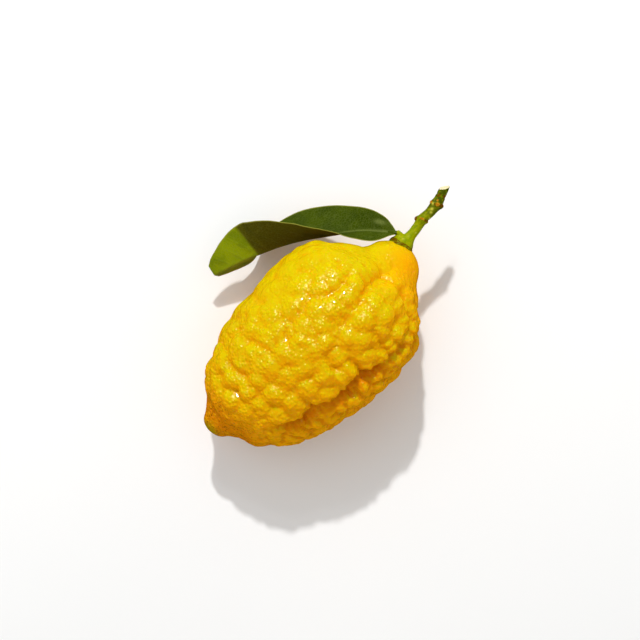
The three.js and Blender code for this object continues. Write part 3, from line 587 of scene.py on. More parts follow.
# %% Bark relief: x, y, z, radius
SCARS = [
    [77.3, 8.7, 44.9, 0.55], [77.6, 8.2, 45, 0.55], [77.9, 7.7, 45, 0.55], [87.6, 8.1, 46.1, 1],
    [86.4, 10.8, 44.7, 0.7], [91.1, 10.6, 46, 0.5], [88.9, 9.5, 46, 0.5], [78.4, 4.8, 42.6, 0.7],
]
LENTICELS = [
    [84.1, 8.3, 45.6, 0.75], [82.8, 7.4, 45.2, 0.6], [64.7, 7.2, 45.4, 0.6], [67.5, 6.5, 44.6, 0.6],
    [86.3, 9.8, 45.6, 0.7], [71, 5.2, 43.8, 0.4], [73.6, 8.9, 42.8, 0.4], [80.6, 6, 44.2, 0.45],
    [93.2, 9, 45.2, 0.5],
]
BRUISES = [
    [78.4, 6.4, 44.7, 0.7], [79, 5.4, 43.7, 0.7], [75.7, 10.3, 43.2, 1], [88.4, 6.6, 45.4, 1],
    [89.2, 6.2, 44.4, 0.9], [86.8, 9.1, 46, 0.5], [91, 10.8, 46, 0.9], [92.6, 8.5, 45.4, 0.9],
]
NODE_RINGS = [[77.9, 0.9], [88.3, 1], [91.6, 0.7]]


def square_to(curve, t, step=0.01):
    """Two directions square to a curve in space: a level one, and one square to both."""
    ahead = unit(curve(t + step)[:, :3] - curve(t - step)[:, :3])
    level = unit(np.cross((0, 0, 1), ahead))
    return level, np.cross(ahead, level)


def spots(points, places):
    """1 at each listed place, fading out over its radius."""
    mask = np.zeros(len(points))
    for x, y, z, radius in places:
        mask = np.maximum(mask, np.exp(-(((points - (x, y, z)) ** 2).sum(1)) / radius**2))
    return mask


def bark(t, angle):
    """Points on the bark, and the ways out from the axis, at places counted in table rows."""
    centre, radius = twig_curve(t)[:, :3], twig_curve(t)[:, 3]
    level, over = square_to(twig_curve, t)
    out = level * np.cos(angle)[:, None] + over * np.sin(angle)[:, None]
    lobes = LOBE_DEPTH * (1 - fade(centre[:, 0], *LOBES_ALONG))
    reach = radius * (1 + lobes * np.cos(LOBE_COUNT * angle + LOBE_TURN))
    for *place, size in KNOTS:
        to_knot = np.array(place) - centre
        near = (to_knot * out).sum(1)
        chord = near**2 - (to_knot**2).sum(1) + size**2
        edge = np.where(chord > 0, near + np.sqrt(np.maximum(chord, 0)), 0)
        reach = smooth_max(reach, edge, KNOT_ROUNDING)
    return centre + out * reach[:, None], out


def foot_gap(points):
    """How far outside the fruit's smooth body a point is, measured across the fruit."""
    x, y, z = points.T
    across = np.hypot(y - midline_curve(x)[:, 0], (z - AXIS_HEIGHT - AXIS_TILT * x) / TOP_SHARE)
    return across - half_width(x)


print("a point on the bark:", bark(np.array([2.0]), np.array([0.0]))[0].round(2))

# %% [markdown]
# ## Where each column of bark begins and ends
# The calyx sits on a curved skin and the twig ends in a slanted cut, so no two columns have the same
# length. A walk in small steps along each column finds where it crosses the skin and the cut. The rings
# are then spread evenly between the two, which keeps the faces square and gives both ends a clean line.

# %% Columns from the calyx to the cut
walk = np.linspace(0, len(TWIG) - 1, WALK_STEPS)
turns = np.arange(TWIG_SIDES) / TWIG_SIDES * 2 * math.pi
starts, ends = [], []
for turn in turns:
    column = bark(walk, np.full(len(walk), turn))[0]
    starts.append(walk[np.argmax(foot_gap(column) > -FOOT_SINK)])
    ends.append(walk[np.argmax((column - CUT_POINT) @ CUT_NORMAL > 0)])
starts, ends = np.array(starts), np.array(ends)
steps = np.linspace(0, 1, TWIG_RINGS + 1)[:, None]
places = (starts + (ends - starts) * steps).ravel()
angles = np.tile(turns, TWIG_RINGS + 1)
bare_bark, out = bark(places, angles)
print("columns start at rows", starts.min().round(2), "to", starts.max().round(2))

# %% Fibres, scars and lenticels
FIBRE = dict(size=0.5, softness=10, seed=71)
CRUMB = dict(size=0.9, softness=9, seed=73)
DOME_LEVEL, FIBRES_ROUND, FIBRES_ALONG = 0.6, 4, 0.9
FIBRE_RISE, LENTICEL_RISE = 0.06, 0.22
RIM_REACH, RIM_END, CALM_AT_CUT, RING_CENTRE = (0.8, 2.8), (66, 67.5), (0.992, 1), 8
CORK_RISE, CORK_ROUGH, RIM_RISE, RIM_ROUGH = 0.12, 0.45, 0.1, 0.4
RING_RISE, RING_LEAN, NICK_DEPTH, NICK_AT, NICK_WIDTH = 0.16, 0.35, 0.14, 0.9, 0.35
unrolled = [np.cos(angles) * FIBRES_ROUND, np.sin(angles) * FIBRES_ROUND, places * FIBRES_ALONG]
fibres = domes(np.stack(unrolled, 1), **FIBRE) - DOME_LEVEL
rough = domes(bare_bark, **CRUMB) - DOME_LEVEL
cork, lenticels, bruises = [spots(bare_bark, marks) for marks in (SCARS, LENTICELS, BRUISES)]
rim = (1 - fade(foot_gap(bare_bark), *RIM_REACH)) * (1 - fade(bare_bark[:, 0], *RIM_END))
swell = FIBRE_RISE * fibres + LENTICEL_RISE * lenticels
swell += cork * (CORK_RISE + CORK_ROUGH * rough) + rim * (RIM_RISE + RIM_ROUGH * rough)
for x, wide in NODE_RINGS:
    ring = bare_bark[:, 0] + RING_LEAN * (bare_bark[:, 1] - RING_CENTRE) - x
    swell += RING_RISE * bell(ring, wide) - NICK_DEPTH * bell(ring - NICK_AT, NICK_WIDTH)
swell *= 1 - fade(steps, *CALM_AT_CUT).repeat(TWIG_SIDES, 1).ravel()
bark_points = bare_bark + out * swell[:, None]
print("bark relief from", swell.min().round(2), "to", swell.max().round(2), "mm")

# %% [markdown]
# ## The cut face
# Secateurs leave a flat oval of pale wood with a thin green rim of bark. Rings of points shrink towards
# the pith, and a shallow ripple stands for the torn fibres. An attribute called `cut` runs from 0 on
# the bark to 1 on the wood.

# %% Make the twig
CUT_RINGS = [0.97, 0.93, 0.86, 0.74, 0.6, 0.46, 0.32, 0.18]
TEAR = dict(size=0.7, softness=9, seed=79)
TORN, BARK_LIP, LIP_EDGE = 0.12, 0.1, (0.95, 0.9)
WOOD_EDGE, PITH_EDGE, AGEING = (0.99, 0.92), (0.34, 0.1), (66, 92)
end_loop = bark_points[-TWIG_SIDES:]
end_middle = end_loop.mean(0)
face_points = np.concatenate([end_middle + (end_loop - end_middle) * share for share in CUT_RINGS])
from_pith = np.repeat(CUT_RINGS, TWIG_SIDES)
ripple = domes(face_points, **TEAR) - DOME_LEVEL
face_points += CUT_NORMAL * (TORN * ripple - BARK_LIP * fade(from_pith, *LIP_EDGE))[:, None]
foot_middle = bark_points[:TWIG_SIDES].mean(0)
twig_points = np.concatenate([bark_points, face_points, [end_middle, foot_middle]])


def ring_faces(sides, rings):
    """Quads between rings of points that follow one another."""
    ring = np.arange(sides)
    return [[a + k, b + k, b + k + sides, a + k + sides]
            for k in range(0, rings * sides, sides) for a, b in zip(ring, np.roll(ring, -1))]


twig_faces = ring_faces(TWIG_SIDES, TWIG_RINGS + len(CUT_RINGS))
last_ring = (TWIG_RINGS + len(CUT_RINGS)) * TWIG_SIDES
for side in range(TWIG_SIDES):
    following = (side + 1) % TWIG_SIDES
    twig_faces.append([last_ring + side, last_ring + following, last_ring + TWIG_SIDES])
    twig_faces.append([following, side, last_ring + TWIG_SIDES + 1])


def padded_out(values, on_wood):
    """Values for the bark, then one value for the cut face and the two middles."""
    return np.r_[values, np.full(len(twig_points) - len(values), on_wood)]


no_bark = np.zeros(len(bark_points))
twig = make_piece("twig", twig_points, twig_faces, {
    "cork": padded_out(cork, 0),
    "lenticel": padded_out(lenticels, 0),
    "bruise": padded_out(bruises, 0),
    "rim": padded_out(rim, 0),
    "age": padded_out(fade(bare_bark[:, 0], *AGEING), 1),
    "cut": np.r_[no_bark, fade(from_pith, *WOOD_EDGE), 1, 0],
    "pith": np.r_[no_bark, fade(from_pith, *PITH_EDGE), 1, 0],
})
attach(twig, "root")
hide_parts("stem")
print("twig:", sum(len(corners) - 2 for corners in twig_faces), "triangles")

# %% [markdown]
# ## The leaf's sizes
# A citron leaf is a stiff blade about 95 mm long, folded along its midrib, with a smooth margin. This
# one twists on its way out, so its underside shows towards the tip. A flat plane bent by a modifier
# would not follow that. Instead the midrib is a curve in space, and a table says for places along it
# how wide each half is, which way the half beside the fruit leans, and how far the blade stands open.

# %% Leaf sizes, in millimetres and degrees
MIDRIB = [
    [63.6, 12.2, 42.5], [62.2, 14.2, 41.4], [59, 18, 38.4], [54.3, 22.9, 34.4], [48.9, 27.3, 30.6],
    [42.3, 32, 27.6], [38.4, 34.6, 26.4], [32.2, 38.7, 24.9], [27.3, 41.6, 24.2], [20.9, 44.9, 23.4],
    [14.5, 47.7, 22.8], [9.5, 49.7, 22.2], [4.1, 52, 21.5], [-1.8, 54, 20.4], [-6.1, 55.3, 19.4],
    [-10.5, 56.5, 18.4], [-13.6, 57.4, 17.6],
]
# Share of the length, half width, lean, opening.
BLADE = [
    [0, 1.4, 50, 132], [0.05, 6, 44, 139], [0.1, 8.6, 50, 136], [0.17, 11.2, 66, 130],
    [0.25, 13.8, 83, 123], [0.33, 16.2, 93, 118], [0.41, 18.2, 99, 118], [0.48, 19.6, 105, 118],
    [0.56, 20.4, 114, 117], [0.62, 20.8, 122, 116], [0.68, 20.8, 130, 116], [0.73, 20.2, 138, 118.5],
    [0.77, 18.8, 147, 121.5], [0.82, 16.6, 153, 125], [0.88, 13.6, 155, 127], [0.93, 10.6, 155, 128],
    [0.97, 8.2, 154, 129], [1, 5.4, 154, 129],
]
STALK = [[65.4, 8.6, 41.9], [65.2, 10, 42.3], [64.6, 11.2, 42.5], [63.6, 12.4, 42.3], [62, 14.4, 41.1]]
STALK_RADII = [1.2, 1.1, 1, 0.95, 0.8]
STALK_SIDES, STALK_RINGS = 24, 24
FOLD_WIDTH, CUP, CUP_REACH = 1.6, 9, 20
BLADE_THICKNESS, MARGIN_THICKNESS = 0.5, 0.3
LEAF_ROWS, LEAF_COLUMNS = 300, 96
RIB_HEIGHT, RIB_WIDTH = 0.7, 1.1


def along_points(rows):
    """A smooth curve through points, asked by distance along it."""
    rows = np.array(rows, float)
    far = np.r_[0, np.cumsum(np.linalg.norm(np.diff(rows, axis=0), axis=1))]
    return through(np.column_stack([far, rows]).tolist()), far[-1]


midrib_curve, leaf_length = along_points(MIDRIB)
blade_curve = through(BLADE)
print("leaf length:", round(leaf_length, 1), "mm")

# %% [markdown]
# ## Growing the blade
# From each point on the midrib the blade is walked outwards in small steps, turning a little at every
# step: quickly over the rounded fold, slowly after that, because each half is cupped. The walk gives
# both the place and the direction that the blade's face looks in.


# %% Walk across the blade
def blade_sheet(shares_along, shares_across, steps=40):
    """The blade's points, the way its face looks, and each point's distance from the midrib."""
    half, lean, opening = [column[:, None, None] for column in blade_curve(shares_along).T]
    reach = shares_across[None, :, None] * half
    w = np.concatenate([reach * (np.arange(steps) + 0.5) / steps, reach], 2)
    fold = 1 - ease(np.clip(w / (2 * FOLD_WIDTH) + 0.5, 0, 1))
    angle = np.radians(lean - (180 - opening) * fold + CUP * w / CUP_REACH)
    distance = shares_along * leaf_length
    near, over = [side[:, None, :] for side in square_to(midrib_curve, distance, 0.05)]
    sideways = reach * np.cos(angle[..., :-1]).mean(2, keepdims=True)
    upwards = reach * np.sin(angle[..., :-1]).mean(2, keepdims=True)
    points = midrib_curve(distance)[:, None, :] + near * sideways + over * upwards
    last = angle[..., -1:]
    return points, over * np.cos(last) - near * np.sin(last), reach[..., 0]


shares_along = np.linspace(0, 1, LEAF_ROWS + 1)
even = np.linspace(-1, 1, LEAF_COLUMNS + 1)
shares_across = even * (0.6 + 0.4 * np.abs(even))
sheet, face, across = blade_sheet(shares_along, shares_across)
print("blade of", sheet.shape[0], "by", sheet.shape[1], "points")

# %% [markdown]
# ## Veins
# Side veins leave the midrib at a slant, take turns on the two halves, and bend towards the tip. They
# stand out a little underneath and sink in a little on top, and the blade is faintly quilted between
# them. Each vein is a line where `stripe` is a whole number, so one formula draws them all.

# %% Vein relief
VEIN_STEP, VEIN_SLANT, VEIN_BEND, VEIN_WIDTH = 7.2, 0.5, 0.012, 0.42
VEIN_UNDER, VEIN_ON_TOP, QUILTING = 0.16, 0.06, 0.1
VEIN_START, VEIN_END, QUILT_START = (0.4, 1.5), (0.8, 0.97), (1, 5)
VEIN_THINS, RIB_THINS = 0.5, 0.7
CHANNEL_DEPTH, CHANNEL_WIDTH = 0.25, 0.5
down_leaf = (shares_along * leaf_length)[:, None] + 0 * across
share_out = np.abs(shares_across)[None, :] + 0 * across
wobble = 0.5 * np.sin(down_leaf / 6) + 0.3 * np.sin(across / 3 + down_leaf / 11)
stripe = (down_leaf - VEIN_SLANT * np.abs(across) - VEIN_BEND * across**2 + wobble) / VEIN_STEP
stripe += 0.5 * (across < 0)
side_vein = bell((stripe - np.round(stripe)) * VEIN_STEP, VEIN_WIDTH) * (1 - fade(share_out, *VEIN_END))
side_vein *= fade(np.abs(across), *VEIN_START) * (1 - VEIN_THINS * share_out)
midrib = bell(across, RIB_WIDTH) * (1 - RIB_THINS * shares_along)[:, None]
quilt = QUILTING * np.cos(2 * math.pi * stripe) * fade(np.abs(across), *QUILT_START) * (1 - share_out)
half_thick = (BLADE_THICKNESS + (MARGIN_THICKNESS - BLADE_THICKNESS) * share_out**3) / 2
rise = half_thick - quilt - VEIN_ON_TOP * side_vein - CHANNEL_DEPTH * bell(across, CHANNEL_WIDTH)
drop = half_thick + quilt + VEIN_UNDER * side_vein + RIB_HEIGHT * midrib
print("blade is", (rise + drop).min().round(2), "to", (rise + drop).max().round(2), "mm thick")

# %% [markdown]
# ## Two faces and a margin
# The upper and lower faces are the same grid of points, moved apart. A strip of three rounded rows
# closes them along the margin. Solidify and Bevel modifiers could do both, but here each face has a
# relief of its own, and the margin's points can be told apart when the masks are made.

# %% Make the leaf's faces
MARGIN_TURNS = np.radians([-60, 0, 60])
upper = (sheet + face * rise[..., None]).reshape(-1, 3)
lower = (sheet - face * drop[..., None]).reshape(-1, 3)
grid = np.arange(len(upper)).reshape(across.shape)
border = np.concatenate([grid[0, :-1], grid[:-1, -1], grid[-1, :0:-1], grid[:0:-1, 0]])
quads = np.stack([grid[:-1, :-1], grid[1:, :-1], grid[1:, 1:], grid[:-1, 1:]], -1).reshape(-1, 4)
leaf_faces = quads.tolist() + (quads[:, ::-1] + len(upper)).tolist()
middle_line = (upper[border] + lower[border]) / 2
half_gap = np.linalg.norm(upper[border] - lower[border], axis=1)[:, None] / 2
up_there = (upper[border] - middle_line) / half_gap
away = unit(np.cross(up_there, np.roll(middle_line, -1, 0) - np.roll(middle_line, 1, 0)))
margin = [middle_line + half_gap * (away * np.cos(turn) + up_there * np.sin(turn)) for turn in MARGIN_TURNS]
blade_points = np.concatenate([upper, lower, *margin])
margin_rows = np.arange(2 * len(upper), len(blade_points)).reshape(len(margin), -1)
edge_rows = [border + len(upper), *margin_rows, border]
for low, high in zip(edge_rows, edge_rows[1:]):
    leaf_faces += np.stack([low, high, np.roll(high, -1), np.roll(low, -1)], 1).tolist()
print("blade:", len(blade_points), "points")


# %% Add the stalk
def tube(rows, radii, sides, rings):
    """A closed round tube: its points and faces."""
    curve = through([[i, *row, radius] for i, (row, radius) in enumerate(zip(rows, radii))])
    t = np.linspace(0, len(rows) - 1, rings + 1)
    level, over = square_to(curve, t)
    turn = np.arange(sides) / sides * 2 * math.pi
    out = level[:, None] * np.cos(turn)[:, None] + over[:, None] * np.sin(turn)[:, None]
    points = (curve(t)[:, None, :3] + out * curve(t)[:, None, 3:]).reshape(-1, 3)
    end = np.arange(sides)
    return points, ring_faces(sides, rings) + [end[::-1].tolist(), (end + rings * sides).tolist()]


stalk_points, stalk_faces = tube(STALK, STALK_RADII, STALK_SIDES, STALK_RINGS)
leaf_faces += [[int(corner) + len(blade_points) for corner in corners] for corners in stalk_faces]
print("stalk:", len(stalk_points), "points")

# %% [markdown]
# ## Masks for the leaf
# One mesh, one material: the masks tell the upper face from the lower one, and mark the veins and the
# margin. Two masks are painted light: a painted highlight on the upper face near the stalk, and painted
# shade on the stretch of underside nearer the stalk. Towards the tip, the margin of the half beside the
# fruit has dried to brown.


# %% Make the leaf
def on_leaf(on_upper, on_lower, on_margin, on_stalk):
    """Values for the two faces, then for the margin and the stalk."""
    tail = np.r_[np.resize(on_margin, margin_rows.size), np.full(len(stalk_points), on_stalk)]
    return np.r_[on_upper.ravel(), on_lower.ravel(), tail]


SHADE_UP_TO, SHADE_SLANT = (70.3, 72.3), 0.265
SHEEN_DOWN, SHEEN_ACROSS, SHEEN_SLANT, SHEEN_LONG, SHEEN_WIDE = 8.5, -4.4, 0.8, 3.4, 1.4
PALE_RIB, PALE_RIB_THINS, EDGE_FROM = 0.9, 0.5, (0.93, 1)
BROWN_WIDE, BROWN_FROM = (0.5, 1.4), (60, 68)
nothing = np.zeros_like(across)
# Painted shade: the underside is darker from the stalk out to a slanted line about 71 mm along.
painted_shade_under = 1 - fade(down_leaf - SHADE_SLANT * np.abs(across), *SHADE_UP_TO)
main_vein = bell(across, PALE_RIB) * (1 - PALE_RIB_THINS * shares_along)[:, None]
# Painted highlight: a pale patch on the upper face near the stalk, where the key lamp's sheen falls.
from_sheen = across - SHEEN_ACROSS
painted_sheen = bell(down_leaf - SHEEN_DOWN + SHEEN_SLANT * from_sheen, SHEEN_LONG) * bell(from_sheen, SHEEN_WIDE)
from_near_edge = across + blade_curve(shares_along)[:, :1]
browned = (1 - fade(from_near_edge, *BROWN_WIDE)) * fade(down_leaf, *BROWN_FROM)
edge = fade(share_out, *EDGE_FROM)
leaf = make_piece("leaf_blade", np.concatenate([blade_points, stalk_points]), leaf_faces, {
    "under": on_leaf(nothing, nothing + 1, 0.5, 0.2),
    "painted_shade_under": on_leaf(nothing, painted_shade_under, 0.6, 0),
    "vein": on_leaf(np.maximum(0.3 * side_vein, main_vein), np.maximum(0.5 * side_vein, main_vein), 0, 0.3),
    "painted_sheen": on_leaf(painted_sheen, nothing, 0, 0),
    "browned": on_leaf(nothing, browned, 0.6 * browned.ravel()[border], 0),
    "margin": on_leaf(edge, edge, 1, 0),
    "down": on_leaf(down_leaf, down_leaf, 0, 0),
    "across": on_leaf(across, across, 0, 0),
})
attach(leaf, "root")
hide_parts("leaf")
print("leaf_blade:", sum(len(corners) - 2 for corners in leaf_faces), "triangles")

# %% [markdown]
# ## Building materials with nodes
# Every finish here is a network of nodes, made by a script instead of by hand. `add_node` makes one
# node, sets its options and fills its inputs, either with a value or with a wire from another node.
# `coats` lays one colour over another, as a painter does, each where its mask lets it through. A mask
# comes from the mesh with `attribute`, or with `masked` if its range has to be stretched.


# %% Node helpers
def add_node(tree, kind, inputs=(), **options):
    node = tree.nodes.new("ShaderNode" + kind)
    for name, value in options.items():
        setattr(node, name, value)
    for name, value in dict(inputs).items():
        if isinstance(value, bpy.types.NodeSocket):
            tree.links.new(value, node.inputs[name])
        else:
            node.inputs[name].default_value = value
    return node


def blend_colours(tree, mask, first, second, way="MIX"):
    node = add_node(tree, "MixRGB", {"Fac": mask, "Color1": first, "Color2": second}, blend_type=way)
    return node.outputs["Color"]


def coats(tree, tone, layers):
    """A colour under several coats. Each layer is a mask and the colour that it lets through."""
    for mask, coat in layers:
        tone = blend_colours(tree, mask, tone, coat)
    return tone


def scaled(tree, value, low, high, new_low=0.0, new_high=1.0):
    """The value's range low..high, moved to another range and held inside it."""
    inputs = {"Value": value, "From Min": low, "From Max": high, "To Min": new_low, "To Max": new_high}
    return add_node(tree, "MapRange", inputs, interpolation_type="SMOOTHSTEP").outputs["Result"]


def maths(tree, operation, first, second):
    return add_node(tree, "Math", {0: first, 1: second}, operation=operation).outputs["Value"]


def both(tree, first, second):
    """Two masks multiplied, so the result is strong only where both are."""
    return maths(tree, "MULTIPLY", first, second)


def attribute(tree, name):
    return add_node(tree, "Attribute", attribute_name=name).outputs["Fac"]


def masked(tree, name, low=0.0, high=1.0, strength=1.0):
    """A mask from the mesh that starts at `low` and reaches `strength` at `high`."""
    return scaled(tree, attribute(tree, name), low, high, 0, strength)


def colour(red, green, blue):
    return (red, green, blue, 1)


print("node helpers ready")

# %% [markdown]
# ## Three effects that the materials share
# Cloudy colour, scattered dots and packed pimples all turn up on more than one piece, so each is a node
# group: built once, placed in each material, with its own values there. `mottle` is noise squeezed to a
# mask. `dots` gives some cells of a Voronoi pattern a soft spot. `pimples` is a smooth Voronoi pattern
# turned upside down, so that each cell is a small dome: it feeds the height of a bump.


# %% Node groups: mottle, dots and pimples
def mottle(group, given):
    noise = add_node(group, "TexNoise", {name: given[name] for name in ("Vector", "Scale", "Detail")})
    return scaled(group, noise.outputs["Fac"], given["Low"], given["High"])


def dots(group, given):
    cells = add_node(group, "TexVoronoi", {name: given[name] for name in ("Vector", "Scale")})
    spot = scaled(group, cells.outputs["Distance"], given["Size"], 0.0)
    luck = add_node(group, "SeparateColor", {"Color": cells.outputs["Color"]}).outputs["Red"]
    return both(group, spot, maths(group, "LESS_THAN", luck, given["Share"]))


def pimples(group, given):
    inputs = {"Vector": given["Vector"], "Scale": given["Scale"], "Smoothness": given["Softness"]}
    cells = add_node(group, "TexVoronoi", inputs, feature="SMOOTH_F1")
    return scaled(group, cells.outputs["Distance"], 0.75, 0.0)


def new_group(effect, output, **inputs):
    """A node group around an effect, with its inputs and the one output that it gives."""
    group = bpy.data.node_groups.new(effect.__name__, "ShaderNodeTree")
    group.interface.new_socket("Vector", in_out="INPUT", socket_type="NodeSocketVector")
    for label, value in inputs.items():
        socket = group.interface.new_socket(label, in_out="INPUT", socket_type="NodeSocketFloat")
        socket.default_value = value
    group.interface.new_socket(output, in_out="OUTPUT", socket_type="NodeSocketFloat")
    result = effect(group, group.nodes.new("NodeGroupInput").outputs)
    group.links.new(result, group.nodes.new("NodeGroupOutput").inputs[output])
    return group


groups = {
    "mottle": new_group(mottle, "Mask", Scale=100, Detail=4, Low=0.35, High=0.65),
    "dots": new_group(dots, "Mask", Scale=400, Size=0.3, Share=0.5),
    "pimples": new_group(pimples, "Height", Scale=570, Softness=0.35),
}


def use_group(tree, name, vector, **inputs):
    node = tree.nodes.new("ShaderNodeGroup")
    node.node_tree = groups[name]
    tree.links.new(vector, node.inputs["Vector"])
    for label, value in inputs.items():
        node.inputs[label].default_value = value
    return node.outputs[0]


print("groups:", sorted(groups))


# %% A new material with its shader
def new_material(name, **settings):
    """A material, its tree, its object-space coordinates in metres and its Principled shader."""
    material = bpy.data.materials.new(name)
    material.use_nodes = True
    tree = material.node_tree
    shader = tree.nodes["Principled BSDF"]
    for label, value in settings.items():
        shader.inputs[label.replace("_", " ")].default_value = value
    return material, tree, add_node(tree, "TexCoord").outputs["Object"], shader


def wire(tree, shader, tone, roughness, normal):
    for label, socket in (("Base Color", tone), ("Roughness", roughness), ("Normal", normal)):
        tree.links.new(socket, shader.inputs[label])


def two_bumps(tree, fine, fine_rise, coarse, coarse_rise):
    """A fine relief on top of a coarser one, each with its height in metres."""
    under = add_node(tree, "Bump", {"Height": coarse, "Distance": coarse_rise, "Strength": 1.0})
    inputs = {"Height": fine, "Distance": fine_rise, "Strength": 1.0, "Normal": under.outputs["Normal"]}
    return add_node(tree, "Bump", inputs).outputs["Normal"]


print("material helpers ready")

# %% [markdown]
# ## Peel
# Ripe citron peel is a clear yellow. Its gold in the folds and amber in the creases, hollows and under the
# lip of the deep groove are painted shade, in place of light bouncing from peel to peel, and the deeper
# gold on every side turned away from the key lamp is painted shade too. The neck had more sun as it grew
# and is orange, and the blossom end is rusty with a trace of green. The light goes a little way in before
# it comes out again, so the shader has some subsurface scattering, which warms the shaded side of every
# bump. Wax lies on the glands in patches. It is the shader's clear coat, and makes them glint.

# %% Peel colours
LEMON, BUTTER = colour(0.66, 0.522, 0.0), colour(0.675, 0.552, 0.0)
# GOLD and AMBER also serve as painted shade in the dips and on skin turned away from the key lamp.
GOLD, AMBER, RUST = colour(0.92, 0.43, 0.0), colour(0.74, 0.25, 0.0), colour(0.26, 0.07, 0.0)
SUNNY, LIME = colour(0.95, 0.44, 0.0), colour(0.34, 0.30, 0.0)
BETWEEN_GLANDS = colour(0.97, 0.86, 1)
peel, tree, place, shader = new_material(
    "peel", Subsurface_Weight=0.6, Subsurface_Radius=(1.0, 0.45, 0.05), Subsurface_Scale=0.0012,
    IOR=1.45, Specular_IOR_Level=0.12, Specular_Tint=colour(1, 0.93, 0.55),
    Coat_IOR=1.5, Coat_Roughness=0.1)
cloud = use_group(tree, "mottle", place, Scale=90, Detail=3)
rusting = use_group(tree, "mottle", place, Scale=420, Detail=4, Low=0.22, High=0.5)
# painted shade in creases, stronger below the deep groove
crease_shade = both(tree, attribute(tree, "crease"), scaled(tree, attribute(tree, "shady"), 0, 1, 0.2, 0.75))
greening = both(tree, attribute(tree, "green"),
                use_group(tree, "mottle", place, Scale=260, Low=0.2, High=0.5))
specks = both(tree, attribute(tree, "speckled"),
              use_group(tree, "dots", place, Scale=800, Size=0.47, Share=0.62))
tone = coats(tree, blend_colours(tree, cloud, LEMON, BUTTER), [
    # painted shade on skin turned away from the key lamp
    (attribute(tree, "painted_side_shade"), GOLD),
    (attribute(tree, "neck"), SUNNY),
    (attribute(tree, "blossom"), blend_colours(tree, rusting, GOLD, AMBER)),
    # painted shade in folds, creases and hollows
    (masked(tree, "fold", 0.1, 1.0, 0.15), GOLD),
    (crease_shade, AMBER),
    (masked(tree, "hollow", 0.6, 1.3, 0.5), AMBER),
    # painted shade under the deep groove's lip
    (masked(tree, "cleft_shade", strength=0.8), AMBER),
    (greening, LIME),
    (scaled(tree, specks, 0.0, 0.7, 0, 0.85), RUST),
])

# %% Peel glands and wax
GLAND_RISE, GRAIN_RISE = 0.0003, 0.00002
glands = both(tree, attribute(tree, "coarse"), use_group(tree, "pimples", place, Scale=600))
tone = blend_colours(tree, scaled(tree, glands, 0.7, 0.15, 0, 0.8), tone, BETWEEN_GLANDS, "MULTIPLY")
roughness = scaled(tree, glands, 0.3, 0.9, 0.26, 0.18)
waxed = use_group(tree, "mottle", place, Scale=330, Detail=2, Low=0.38, High=0.6)
tree.links.new(both(tree, scaled(tree, glands, 0.35, 0.8), waxed), shader.inputs["Coat Weight"])
grain = use_group(tree, "mottle", place, Scale=2600, Detail=3, Low=0.2, High=0.8)
wire(tree, shader, tone, roughness, two_bumps(tree, grain, GRAIN_RISE, glands, GLAND_RISE))
citron_skin.data.materials.append(peel)
print("peel has", len(tree.nodes), "nodes")

# %% [markdown]
# ## Twig
# Young citron wood is green and faintly ribbed. It darkens as it ages, and wherever a leaf or bud has
# been it heals over with rusty, crumbly cork. The mesh already says where the cork, the rim of the calyx
# and the cut are, so the material only has to choose colours, and to break the masks up with noise.

# %% Twig material
FRESH, SAPPY, OLIVE = colour(0.21, 0.28, 0.0), colour(0.35, 0.37, 0.0), colour(0.06, 0.08, 0.0)
CORK, PALE_CORK, BROWN = colour(0.40, 0.14, 0.0), colour(0.62, 0.30, 0.02), colour(0.15, 0.06, 0.0)
WOOD, OLD_WOOD = colour(0.90, 0.80, 0.52), colour(0.8, 0.66, 0.36)
PITH, STRAW = colour(0.75, 0.62, 0.35), colour(0.55, 0.52, 0.05)
CRUMB_RISE, PORE_RISE = 0.00006, 0.00008
twig_finish, tree, place, shader = new_material(
    "twig_bark", Subsurface_Weight=0.05, Subsurface_Radius=(0.5, 0.5, 0.1), Subsurface_Scale=0.0006,
    IOR=1.42, Specular_IOR_Level=0.06, Specular_Tint=colour(1, 0.95, 0.5))
streaks = add_node(tree, "Mapping", {"Vector": place, "Scale": (0.3, 1.2, 1.2)}).outputs["Vector"]
worn = use_group(tree, "mottle", place, Scale=520, Detail=5, Low=0.3, High=0.6)
crumbs = use_group(tree, "mottle", place, Scale=1700, Detail=4)


def broken_up(name, low=0.7, high=1.3):
    """A mask from the mesh, frayed by the worn patches."""
    frayed = both(tree, attribute(tree, name), scaled(tree, worn, 0, 1, low, high))
    return scaled(tree, frayed, 0.25, 0.6)


corky = broken_up("cork")
cream = blend_colours(tree, use_group(tree, "mottle", place, Scale=1400, Detail=3), WOOD, OLD_WOOD)
sapwood = blend_colours(tree, use_group(tree, "mottle", streaks, Scale=900, Detail=4), FRESH, SAPPY)
tone = coats(tree, sapwood, [
    (both(tree, attribute(tree, "age"), scaled(tree, worn, 0.0, 1.0, 0.55, 1.05)), OLIVE),
    (attribute(tree, "lenticel"), STRAW),
    (corky, blend_colours(tree, crumbs, CORK, PALE_CORK)),
    (broken_up("bruise"), BROWN),
    (broken_up("rim", 0.6, 1.6), blend_colours(tree, scaled(tree, crumbs, 0.4, 1.0), BROWN, FRESH)),
    (masked(tree, "cut", 0.3, 0.7), blend_colours(tree, attribute(tree, "pith"), cream, PITH)),
])
pores = use_group(tree, "pimples", place, Scale=1800)
dryness = scaled(tree, corky, 0, 1, 0.34, 0.8)
wire(tree, shader, tone, dryness, two_bumps(tree, crumbs, CRUMB_RISE, pores, PORE_RISE))
twig.data.materials.append(twig_finish)
print("twig_bark has", len(tree.nodes), "nodes")

# %% [markdown]
# ## Leaf
# A citrus leaf is dark and a little glossy on top, and paler and duller underneath. Both faces are one
# material here: the mesh says which face is which. The fine net between the side veins is too small for
# the mesh, so it comes from the edges of a Voronoi pattern laid along the leaf's own length and width.

